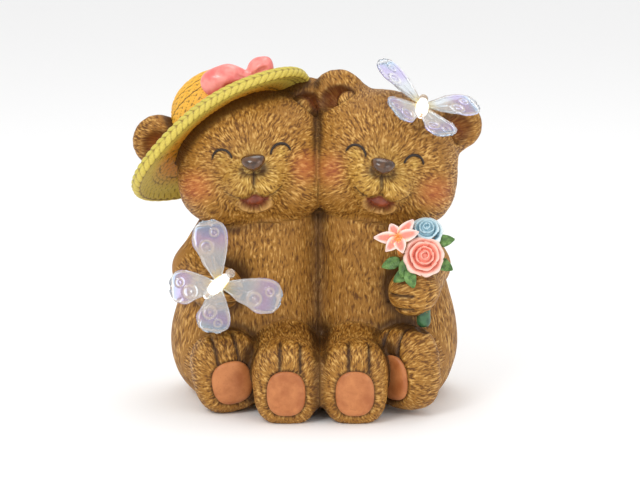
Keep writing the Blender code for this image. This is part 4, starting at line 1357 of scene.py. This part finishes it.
def wing_sheet(length, width, rows=71, columns=41):
    """A wing along the first axis, with a raised rim, branching veins and rings round an eye spot."""
    share = np.linspace(0.0, 1, rows)[:, None] ** 0.9
    across = np.linspace(-1, 1, columns)[None, :]
    belly = np.clip(share, 0.003, 1) ** 0.8 * np.sqrt(1 - np.minimum(share, 0.996) ** 5) / 0.70
    scallop = 1 - 0.08 * np.sin(3 * math.pi * share) ** 2
    half = np.where(across > 0, width * 0.47 * belly, width * 0.53 * belly * scallop)
    x = length * share + 0 * across
    y = half * across + 0 * share
    fan = np.arctan2(y, x + length * 0.05)
    veins = np.exp(-((np.sin(fan * 8.5 + 0.5 * np.sin(share * 6)) / 0.15) ** 2)) * np.clip(share * 4, 0, 1)
    rim = np.exp(-(((np.abs(across) - 0.9) / 0.07) ** 2)) + np.exp(-(((share - 0.955) / 0.03) ** 2))
    spots = 0 * x
    clear = 1 + 0 * x
    for place, side, size in ((0.60, -0.16, 0.27), (0.80, 0.12, 0.17)):
        away = np.hypot(x - length * place, y - width * side) / width
        spots = np.maximum(spots, (0.5 + 0.5 * np.cos(away / size * 10)) ** 1.5 * (away < size))
        clear = clear * (away > size * 1.1)
    relief = np.clip(1.0 * veins * clear + 1.1 * rim + 1.1 * spots, 0, 1.2)
    return x, y, relief, share + 0 * across


def add_insect(wings, body, light, centre, rows):
    """Adds one butterfly to the skins of its wings, its body and its light."""
    sizes = {"fore": (FOREWING_LENGTH, FOREWING_WIDTH), "hind": (HINDWING_LENGTH, HINDWING_WIDTH)}
    for pair, (length, width) in sizes.items():
        x, y, relief, share = wing_sheet(length / SHARE, width / SHARE)
        angle = math.radians(90 - WING_ANGLES[pair])
        c, s = math.cos(angle), math.sin(angle)
        flat_x, flat_y = c * x - s * y, s * x + c * y
        cl, sl = math.cos(WING_LIFT), math.sin(WING_LIFT)
        thick = WING_THICKNESS / SHARE * (0.45 + 0.50 * relief)
        for side in (-1, 1):
            up = flat_x * sl + WING_DROPS[pair] + relief * 0.2
            local = np.stack([side * flat_x * cl, flat_y, up], axis=2)
            wings.sheet(local @ rows + centre, thick, relief=relief, outward=share)
    half, radius = INSECT_LENGTH / SHARE / 2, INSECT_RADIUS / SHARE
    upright = np.array([rows[0], rows[2], rows[1]])
    tail = centre - rows[1] * half * 0.14
    body.rings(globe(tail, (radius * 0.96, radius * 0.96, half * 0.84), upright, ringed))
    head = centre + rows[1] * (half - radius * 0.76)
    body.rings(globe(head, (radius * 0.72, radius * 0.72, radius * 0.72), upright))
    light.rings(globe(tail + rows[1] * 1.5, (radius * 0.70, radius * 0.70, half * 0.58), upright))


def ringed(unit):
    """Shallow rings round the tail half of the body."""
    unit = unit.copy()
    tail = np.clip(-unit[:, :, 2:3] * 1.6, 0, 1)
    unit[:, :, :2] *= 1 - 0.07 * tail * (0.5 + 0.5 * np.cos(unit[:, :, 2:3] * 22))
    return unit


def make_butterflies():
    """Two mouldings of the same shape: wings, body and the light in it."""
    spots = {"paw": (PAW_INSECT_START, paw_insect_frame()), "head": (HEAD_INSECT_START, head_insect_frame())}
    for spot, (start, rows) in spots.items():
        wings, body, light = Skin(), Skin(), Skin()
        add_insect(wings, body, light, insect_centre(start, rows), rows)
        node = f"butterfly_on_{spot}"
        wings.piece(f"{spot}_wings", wing_material(), node, "clear_plastic")
        body.piece(f"{spot}_insect", insect_material(), node, "clear_plastic")
        light.piece(f"{spot}_light", light_material(), node, "clear_plastic")


# The solar panel.

PANEL_DEPTH = PANEL_THICKNESS / SHARE
# Each ring of the panel, from the window's middle to the middle of its back: how large it is and how far it
# stands out. A size above 0 is a share of the panel's own, and one below it is what comes off each side.
PANEL_RINGS = [
    (0.05, -0.5), (0.5, -0.5), (-3.4, -0.5), (-3.0, -0.1),
    (-2.8, 0.0), (-0.8, 0.0), (-0.25, -0.2), (0.0, -0.8),
    (0.0, -PANEL_DEPTH + 0.3), (-0.4, -PANEL_DEPTH), (0.5, -PANEL_DEPTH), (0.05, -PANEL_DEPTH),
]


def panel_ring(size, out):
    """One rounded rectangle of the panel in its own frame."""
    width, height = PANEL_WIDTH / SHARE / 2, PANEL_HEIGHT / SHARE / 2
    if size > 0:
        width, height, corner = width * size, height * size, 1.0
    else:
        width, height, corner = width + size, height + size, max(1.4 + size, 0.6)
    turns = np.linspace(0, 2 * math.pi, 96, endpoint=False)
    c, s = np.cos(turns), np.sin(turns)
    stretch = 1 / np.maximum(np.abs(c), np.abs(s))
    across = np.clip(c * stretch, -1, 1) * (width - corner) + c * corner
    up = np.clip(s * stretch, -1, 1) * (height - corner) + s * corner
    return np.stack([across, 0 * c + out, up], axis=1)


def make_panel():
    """A dark bezel round a shallow window, seen from the window's middle outwards and round to the back."""
    middle, radii, rows = panel_boss()
    local = np.array([panel_ring(size, out) for size, out in PANEL_RINGS])
    face = np.array((0, radii[1] + PANEL_PROUD / SHARE, 0))
    panel = Skin()
    places = (local + face) @ rows + np.array(middle)
    panel.rings(places, across=local[:, :, 0], up=local[:, :, 2], out=local[:, :, 1])
    panel.piece("panel_with_cells", panel_material(), "solar_panel", "solar_cell")


# Materials.

def srgb(red, green, blue):
    """A colour read from the photograph, 0 to 255, as the shader's linear values."""
    def linear(value):
        value /= 255
        return value / 12.92 if value <= 0.04045 else ((value + 0.055) / 1.055) ** 2.4
    return (linear(red), linear(green), linear(blue), 1.0)


class Paint:
    """Short names for building a node material."""

    def __init__(self, name):
        self.material = bpy.data.materials.new(name)
        self.material.use_nodes = True
        self.tree = self.material.node_tree
        self.shader = self.tree.nodes["Principled BSDF"]

    def node(self, kind, **settings):
        made = self.tree.nodes.new(kind)
        for name, value in settings.items():
            setattr(made, name, value)
        return made

    def feed(self, socket, value):
        if isinstance(value, bpy.types.NodeSocket):
            self.tree.links.new(value, socket)
        else:
            socket.default_value = value

    def attribute(self, name, vector=False):
        made = self.node("ShaderNodeAttribute", attribute_name=name)
        return made.outputs["Vector" if vector else "Fac"]

    def math(self, kind, first, second=0.0, clamp=False):
        made = self.node("ShaderNodeMath", operation=kind, use_clamp=clamp)
        self.feed(made.inputs[0], first)
        self.feed(made.inputs[1], second)
        return made.outputs[0]

    def vector(self, kind, first, second=(0, 0, 0), scale=1.0):
        made = self.node("ShaderNodeVectorMath", operation=kind)
        self.feed(made.inputs[0], first)
        self.feed(made.inputs[1], second)
        if kind == "SCALE":
            self.feed(made.inputs["Scale"], scale)
        return made.outputs[0]

    def band(self, value, low, high, to_low=0.0, to_high=1.0):
        """A smooth step from low to high."""
        made = self.node("ShaderNodeMapRange", interpolation_type="SMOOTHSTEP")
        for socket, number in zip(made.inputs[:5], (value, low, high, to_low, to_high)):
            self.feed(socket, number)
        return made.outputs[0]

    def mix(self, share, first, second):
        made = self.node("ShaderNodeMix", data_type="RGBA")
        self.feed(made.inputs[0], share)
        self.feed(made.inputs[6], first)
        self.feed(made.inputs[7], second)
        return made.outputs[2]

    def blend(self, share, first, second):
        made = self.node("ShaderNodeMix", data_type="FLOAT")
        self.feed(made.inputs[0], share)
        self.feed(made.inputs[2], first)
        self.feed(made.inputs[3], second)
        return made.outputs[0]

    def noise(self, place, scale, detail=2.0, roughness=0.5):
        made = self.node("ShaderNodeTexNoise")
        self.feed(made.inputs["Vector"], place)
        self.feed(made.inputs["Scale"], scale)
        self.feed(made.inputs["Detail"], detail)
        self.feed(made.inputs["Roughness"], roughness)
        return made.outputs[0]

    def place(self):
        """The surface's own coordinates, in metres."""
        return self.node("ShaderNodeTexCoord").outputs["Object"]

    def bump(self, height, distance, strength=1.0, normal=None):
        made = self.node("ShaderNodeBump")
        self.feed(made.inputs["Strength"], strength)
        self.feed(made.inputs["Distance"], distance)
        self.feed(made.inputs["Height"], height)
        if normal is not None:
            self.feed(made.inputs["Normal"], normal)
        return made.outputs[0]

    def finish(self, colour, roughness, normal=None, **plain):
        self.feed(self.shader.inputs["Base Color"], colour)
        self.feed(self.shader.inputs["Roughness"], roughness)
        if normal is not None:
            self.feed(self.shader.inputs["Normal"], normal)
        for name, value in plain.items():
            self.shader.inputs[name.replace("_", " ")].default_value = value
        return self.material


def stroke_noise(paint, width, length, detail=1.0):
    """Noise drawn out along the fur, with four sets of strokes so that its width is even at any girth."""
    strokes = paint.attribute("strokes", vector=True)
    girth = paint.attribute("girth")
    parts = paint.node("ShaderNodeSeparateXYZ")
    paint.feed(parts.inputs[0], strokes)
    run = paint.math("DIVIDE", parts.outputs[2], length)
    sway = paint.math("MULTIPLY", paint.noise(paint.place(), 85.0, 1.0), 5.0)
    layers = []
    for radius in (7.0, 14.0, 28.0, 56.0):
        place = paint.node("ShaderNodeCombineXYZ")
        across = paint.math("MULTIPLY", parts.outputs[0], radius / width)
        paint.feed(place.inputs[0], paint.math("ADD", across, sway))
        paint.feed(place.inputs[1], paint.math("MULTIPLY", parts.outputs[1], radius / width))
        paint.feed(place.inputs[2], run)
        layers.append(paint.noise(place.outputs[0], 1.0, detail))
    mixed = layers[0]
    for step, layer in zip((10.0, 20.0, 40.0), layers[1:]):
        mixed = paint.blend(paint.band(girth, step * 0.85, step * 1.2), mixed, layer)
    return mixed


def clouded(name, scale, detail, colours, roughness, relief, edge=0.3, **plain):
    """Paint clouded between two colours. Relief is the depth and strength of a bump from the same clouds."""
    paint = Paint(name)
    cloud = paint.noise(paint.place(), scale, detail)
    colour = paint.mix(paint.band(cloud, edge, 1 - edge), *colours)
    return paint.finish(colour, roughness, paint.bump(cloud, *relief), **plain)


# Each colour laid over the fur's own: where it goes, how strongly, and the colour.
FUR_TINTS = [
    ("blush", 0.55, (190, 88, 50)),
    ("ears", 0.80, (134, 66, 28)),
    ("lip", 1.0, (206, 158, 92)),
    ("mouth", 1.0, (112, 50, 22)),
    ("lines", 1.0, (52, 28, 6)),
]


def fur_material():
    """Golden brown paint streaked along the fur, pale on the tips of the strokes as painted highlight and
    dark in the creases as painted shade.
    """
    paint = Paint("bear_fur_paint")
    fine = stroke_noise(paint, 1.15, 5.2, 2.0)
    broad = stroke_noise(paint, 3.2, 10.0, 1.0)
    patch = paint.noise(paint.place(), 45.0, 2.0)
    tone = paint.math("ADD", fine, paint.math("MULTIPLY", paint.math("SUBTRACT", broad, 0.5), 0.20))
    tone = paint.blend(paint.math("MULTIPLY", paint.attribute("seam"), 0.7), tone, 0.52)
    muzzle, painted_shade = paint.attribute("muzzle"), paint.attribute("painted_shade")
    low = paint.mix(muzzle, srgb(98, 58, 12), srgb(128, 88, 24))
    middle = paint.mix(muzzle, srgb(162, 112, 40), srgb(194, 152, 66))
    high = paint.mix(muzzle, srgb(212, 164, 88), srgb(234, 198, 116))
    # The streaks are the paint's own; the paler tone also follows the bump's ridges, a painted highlight on
    # them and painted shade in the grooves between.
    colour = paint.mix(paint.band(tone, 0.36, 0.50), low, middle)
    colour = paint.mix(paint.band(tone, 0.53, 0.66), colour, high)
    shade = paint.band(patch, 0.35, 0.65, 0.0, 0.25)
    colour = paint.mix(shade, colour, srgb(132, 84, 24))
    # Painted shade: darker in the creases, under the chins and the brim, and in the valley between the bears.
    crease_shade = paint.band(painted_shade, 0.22, 0.78, 0.0, 0.90)
    colour = paint.mix(crease_shade, colour, srgb(72, 42, 6))
    for name, strength, tint in FUR_TINTS:
        colour = paint.mix(paint.math("MULTIPLY", paint.attribute(name), strength), colour, srgb(*tint))
    smooth = paint.attribute("smooth")
    height = paint.math("MULTIPLY", tone, paint.math("SUBTRACT", 1.0, smooth))
    normal = paint.bump(height, 0.0011, 0.9)
    roughness = paint.band(tone, 0.3, 0.7, 0.62, 0.48)
    return paint.finish(colour, roughness, normal, Specular_IOR_Level=0.35)


def nose_material():
    colours = srgb(58, 34, 14), srgb(92, 58, 30)
    gloss = {"Coat_Weight": 0.5, "Coat_Roughness": 0.12}
    return clouded("glossy_brown_nose", 260.0, 3.0, colours, 0.24, (0.0002, 0.5), 0.35, **gloss)


def eye_material():
    paint = Paint("dark_eye_line")
    mottle = paint.noise(paint.place(), 500.0, 2.0)
    return paint.finish(paint.mix(mottle, srgb(22, 10, 2), srgb(44, 24, 8)), 0.5)


def tongue_material():
    colours = srgb(104, 44, 20), srgb(140, 66, 36)
    return clouded("red_brown_tongue", 220.0, 2.0, colours, 0.38, (0.0003, 0.5))


def pad_material():
    """Smooth terracotta, clouded, with brown rubbed into a few pits."""
    paint = Paint("terracotta_pads")
    cloud = paint.noise(paint.place(), 70.0, 4.0, 0.6)
    grain = paint.noise(paint.place(), 700.0, 2.0)
    colour = paint.mix(paint.band(cloud, 0.3, 0.7), srgb(166, 94, 46), srgb(198, 126, 72))
    colour = paint.mix(paint.band(grain, 0.60, 0.75, 0.0, 0.35), colour, srgb(150, 84, 40))
    height = paint.math("ADD", cloud, paint.math("MULTIPLY", grain, 0.15))
    return paint.finish(colour, 0.46, paint.bump(height, 0.0005, 0.5))


def straw_material():
    """Yellow-green round the rim and orange on the crown; the orange underneath and on the rim's lower half
    is painted shade under the brim; dark between the plaits.
    """
    paint = Paint("painted_straw")
    relief, zone, outward = (paint.attribute(name) for name in ("relief", "zone", "outward"))
    fibre = paint.noise(paint.place(), 900.0, 3.0)
    crown = paint.mix(paint.band(outward, 0.10, 0.40), srgb(226, 196, 84), srgb(246, 184, 56))
    rim = paint.mix(paint.band(outward, 0.55, 0.85), srgb(236, 176, 66), srgb(204, 190, 78))
    # Underneath, orange by the head and yellow-green out at the rim: the orange is painted shade under the
    # brim.
    under = paint.mix(paint.band(outward, 0.60, 0.86), srgb(228, 148, 36), srgb(214, 194, 84))
    colour = paint.mix(paint.band(zone, 0.0, 0.6), crown, rim)
    colour = paint.mix(paint.band(zone, 1.1, 1.9), colour, under)
    colour = paint.mix(paint.band(relief, 0.70, 0.18, 0.0, 0.92), colour, srgb(96, 62, 6))
    colour = paint.mix(paint.band(fibre, 0.35, 0.65, 0.25, 0.0), colour, srgb(160, 122, 26))
    return paint.finish(colour, 0.5, paint.bump(fibre, 0.0004, 0.5))


def ribbon_material():
    colours = srgb(222, 106, 100), srgb(246, 150, 140)
    gloss = {"Coat_Weight": 0.4, "Coat_Roughness": 0.15}
    return clouded("pink_ribbon", 120.0, 3.0, colours, 0.3, (0.0005, 0.4), **gloss)


def rose_material(name):
    """Petals dark deep in the rose, painted shade between the petals, and pale at their rims."""
    shades = {
        "pink": (srgb(232, 112, 94), srgb(252, 176, 156), srgb(255, 222, 208)),
        "blue": (srgb(112, 168, 190), srgb(182, 212, 222), srgb(238, 244, 244)),
    }[name]
    paint = Paint(f"{name}_rose")
    depth = paint.attribute("depth")
    cloud = paint.noise(paint.place(), 300.0, 2.0)
    # Painted shade: the petals' roots and the inner rings darker.
    colour = paint.mix(paint.band(depth, 0.15, 0.50), shades[0], shades[1])
    colour = paint.mix(paint.band(depth, 0.58, 0.90), colour, shades[2])
    colour = paint.mix(paint.band(cloud, 0.45, 0.75, 0.0, 0.2), colour, shades[0])
    return paint.finish(colour, 0.32, paint.bump(cloud, 0.0003, 0.4), Coat_Weight=0.3, Coat_Roughness=0.2)


def lily_material():
    """Pink petals, paler towards their edges, with yellow dots on the inner half."""
    paint = Paint("pink_lily")
    along, across = paint.attribute("along"), paint.attribute("across")
    edge = paint.band(paint.math("ABSOLUTE", across), 0.35, 0.95)
    edge = paint.math("MAXIMUM", edge, paint.band(along, 0.70, 1.0))
    colour = paint.mix(edge, srgb(240, 138, 120), srgb(255, 224, 214))
    colour = paint.mix(paint.band(along, 0.34, 0.04), colour, srgb(240, 150, 70))
    cells = paint.node("ShaderNodeTexVoronoi")
    paint.feed(cells.inputs["Vector"], paint.place())
    paint.feed(cells.inputs["Scale"], 620.0)
    dots = paint.band(cells.outputs["Distance"], 0.30, 0.20)
    dots = paint.math("MULTIPLY", dots, paint.band(along, 0.75, 0.45))
    colour = paint.mix(dots, colour, srgb(244, 214, 120))
    return paint.finish(colour, 0.34, None, Coat_Weight=0.3, Coat_Roughness=0.2)


def leaf_material():
    """Green with darker slanting veins."""
    paint = Paint("leaf_green")
    along, across = paint.attribute("along"), paint.attribute("across")
    forward = paint.math("MULTIPLY", paint.math("ABSOLUTE", across), -3.0)
    slant = paint.math("ADD", paint.math("MULTIPLY", along, 9.0), forward)
    veins = paint.math("ABSOLUTE", paint.math("SINE", paint.math("MULTIPLY", slant, math.pi)))
    cloud = paint.noise(paint.place(), 260.0, 3.0)
    colour = paint.mix(paint.band(cloud, 0.3, 0.7), srgb(58, 98, 34), srgb(116, 158, 78))
    colour = paint.mix(paint.band(veins, 0.35, 0.0, 0.0, 0.6), colour, srgb(40, 72, 20))
    height = paint.math("ADD", veins, cloud)
    return paint.finish(colour, 0.36, paint.bump(height, 0.0004, 0.5), Coat_Weight=0.25, Coat_Roughness=0.2)


def stem_material():
    colours = srgb(24, 66, 40), srgb(58, 104, 62)
    gloss = {"Coat_Weight": 0.25, "Coat_Roughness": 0.2}
    return clouded("stem_green", 220.0, 3.0, colours, 0.36, (0.0005, 0.6), **gloss)


def wing_material():
    """Clear plastic under a pearly coat: yellow by the body, lilac and blue outwards."""
    paint = Paint("clear_pearly_wing")
    outward, relief = paint.attribute("outward"), paint.attribute("relief")
    drift = paint.math("ADD", outward, paint.math("MULTIPLY", paint.noise(paint.place(), 60.0, 2.0), 0.35))
    colour = paint.mix(paint.band(drift, 0.18, 0.50), srgb(255, 236, 150), srgb(244, 250, 255))
    colour = paint.mix(paint.band(drift, 0.62, 0.90), colour, srgb(226, 216, 255))
    colour = paint.mix(paint.band(drift, 0.92, 1.15), colour, srgb(206, 232, 255))
    colour = paint.mix(paint.band(relief, 0.4, 0.9, 0.0, 0.9), colour, srgb(255, 255, 255))
    return paint.finish(
        colour, 0.16, None, Transmission_Weight=0.80, IOR=1.40, Coat_Weight=0.6, Coat_Roughness=0.08,
        Specular_IOR_Level=0.6,
    )


def insect_material():
    paint = Paint("clear_insect_body")
    haze = paint.noise(paint.place(), 300.0, 2.0)
    colour = paint.mix(haze, srgb(250, 250, 255), srgb(255, 252, 236))
    return paint.finish(colour, 0.12, paint.bump(haze, 0.0003, 0.4), Transmission_Weight=0.85, IOR=1.46)


def light_material():
    paint = Paint("white_light")
    glow = paint.band(paint.noise(paint.place(), 200.0, 1.0), 0.2, 0.8, 0.85, 1.0)
    light = paint.mix(glow, srgb(255, 250, 225), srgb(255, 255, 255))
    paint.feed(paint.shader.inputs["Emission Color"], light)
    return paint.finish(srgb(255, 255, 250), 0.4, None, Emission_Strength=2.8)


def panel_material():
    """Dark blue cells with thin silver lines behind the window, in a black bezel."""
    paint = Paint("solar_cells")
    across, up, out = (paint.attribute(name) for name in ("across", "up", "out"))

    def stripes(value, pitch, width):
        share = paint.math("FRACT", paint.math("ADD", paint.math("DIVIDE", value, pitch), 100.5))
        away = paint.math("ABSOLUTE", paint.math("SUBTRACT", share, 0.5))
        return paint.math("LESS_THAN", away, width / pitch / 2)

    bars = paint.math("MAXIMUM", stripes(across, 11.4, 0.7), stripes(up, 14.6, 0.5))
    fingers = stripes(up, 1.6, 0.22)
    crystal = paint.noise(paint.place(), 240.0, 2.0)
    cell = paint.mix(paint.band(crystal, 0.35, 0.65), srgb(16, 24, 58), srgb(34, 46, 92))
    cell = paint.mix(paint.math("MULTIPLY", fingers, 0.6), cell, srgb(110, 120, 140))
    cell = paint.mix(bars, cell, srgb(176, 180, 186))
    window = paint.math("LESS_THAN", out, -0.4)
    inside_x = paint.math("LESS_THAN", paint.math("ABSOLUTE", across), PANEL_WIDTH / SHARE / 2 - 3.3)
    inside_z = paint.math("LESS_THAN", paint.math("ABSOLUTE", up), PANEL_HEIGHT / SHARE / 2 - 3.3)
    window = paint.math("MULTIPLY", window, paint.math("MULTIPLY", inside_x, inside_z))
    grain = paint.noise(paint.place(), 1400.0, 2.0)
    bezel = paint.mix(grain, srgb(22, 22, 24), srgb(40, 40, 42))
    colour = paint.mix(window, bezel, cell)
    roughness = paint.blend(window, 0.5, 0.12)
    normal = paint.bump(grain, 0.0001, 0.4)
    return paint.finish(colour, roughness, normal, Coat_Weight=0.3, Coat_Roughness=0.1)


# Stage.

WHITE = (1, 1, 1, 1)
ROOM_LIGHT = 0.88
FLOOR_HALF = 3.0


def make_stage():
    """A pale floor in an evenly lit white room."""
    bm = bmesh.new()
    bmesh.ops.create_grid(bm, x_segments=1, y_segments=1, size=FLOOR_HALF)
    mesh = mesh_of("floor", bm)
    floor = bpy.data.objects.new("floor", mesh)
    bpy.context.scene.collection.objects.link(floor)
    paint = Paint("pale_floor")
    mesh.materials.append(paint.finish(srgb(253, 253, 253), 0.9))
    world = bpy.data.worlds.new("studio")
    bpy.context.scene.world = world
    world.use_nodes = True
    world.node_tree.nodes["Background"].inputs[0].default_value = WHITE
    world.node_tree.nodes["Background"].inputs[1].default_value = ROOM_LIGHT


def add_area(name, place, aim, size, power):
    """A round soft light at a place, turned to its aim."""
    light = bpy.data.lights.new(name, "AREA")
    light.shape = "DISK"
    light.size = size
    light.energy = power
    thing = bpy.data.objects.new(name, light)
    bpy.context.scene.collection.objects.link(thing)
    thing.location = place
    thing.rotation_euler = (Vector(aim) - Vector(place)).to_track_quat("-Z", "Y").to_euler()


# Each light: where it stands, how wide it is and its power in watts.
LIGHTS = {
    "key": ((-0.7, -1.1, 1.1), 0.7, 8),
    "fill": ((1.0, -1.0, 0.5), 0.9, 3.2),
    "top": ((0.1, 0.3, 1.4), 0.8, 3.6),
}
LIGHT_AIM = (0, 0, 0.12)


def make_lights():
    """Soft lights round the statue."""
    for name, (place, size, power) in LIGHTS.items():
        add_area(name, place, LIGHT_AIM, size, power)


CAMERA_AIM = (0.0014, 0.0, 0.1113)
CAMERA_DISTANCE = 1.8
CAMERA_RISE = math.radians(12)
PHOTO_WIDTH_AT_AIM = 0.448


def make_camera():
    camera = bpy.data.cameras.new("camera")
    camera.sensor_width = 36.0
    camera.lens = camera.sensor_width * CAMERA_DISTANCE / PHOTO_WIDTH_AT_AIM
    camera.clip_end = 20
    thing = bpy.data.objects.new("camera", camera)
    bpy.context.scene.collection.objects.link(thing)
    away = Vector((0, -math.cos(CAMERA_RISE), math.sin(CAMERA_RISE)))
    thing.location = Vector(CAMERA_AIM) + away * CAMERA_DISTANCE
    thing.rotation_euler = (math.pi / 2 - CAMERA_RISE, 0, 0)
    bpy.context.scene.camera = thing


def main():
    bpy.context.scene.view_settings.view_transform = "Standard"
    make_camera()
    make_stage()
    make_lights()
    make_fur()
    make_faces()
    make_pads()
    make_hat()
    make_bow()
    make_roses()
    make_lily()
    make_leaves()
    make_stem()
    make_butterflies()
    make_panel()


main()
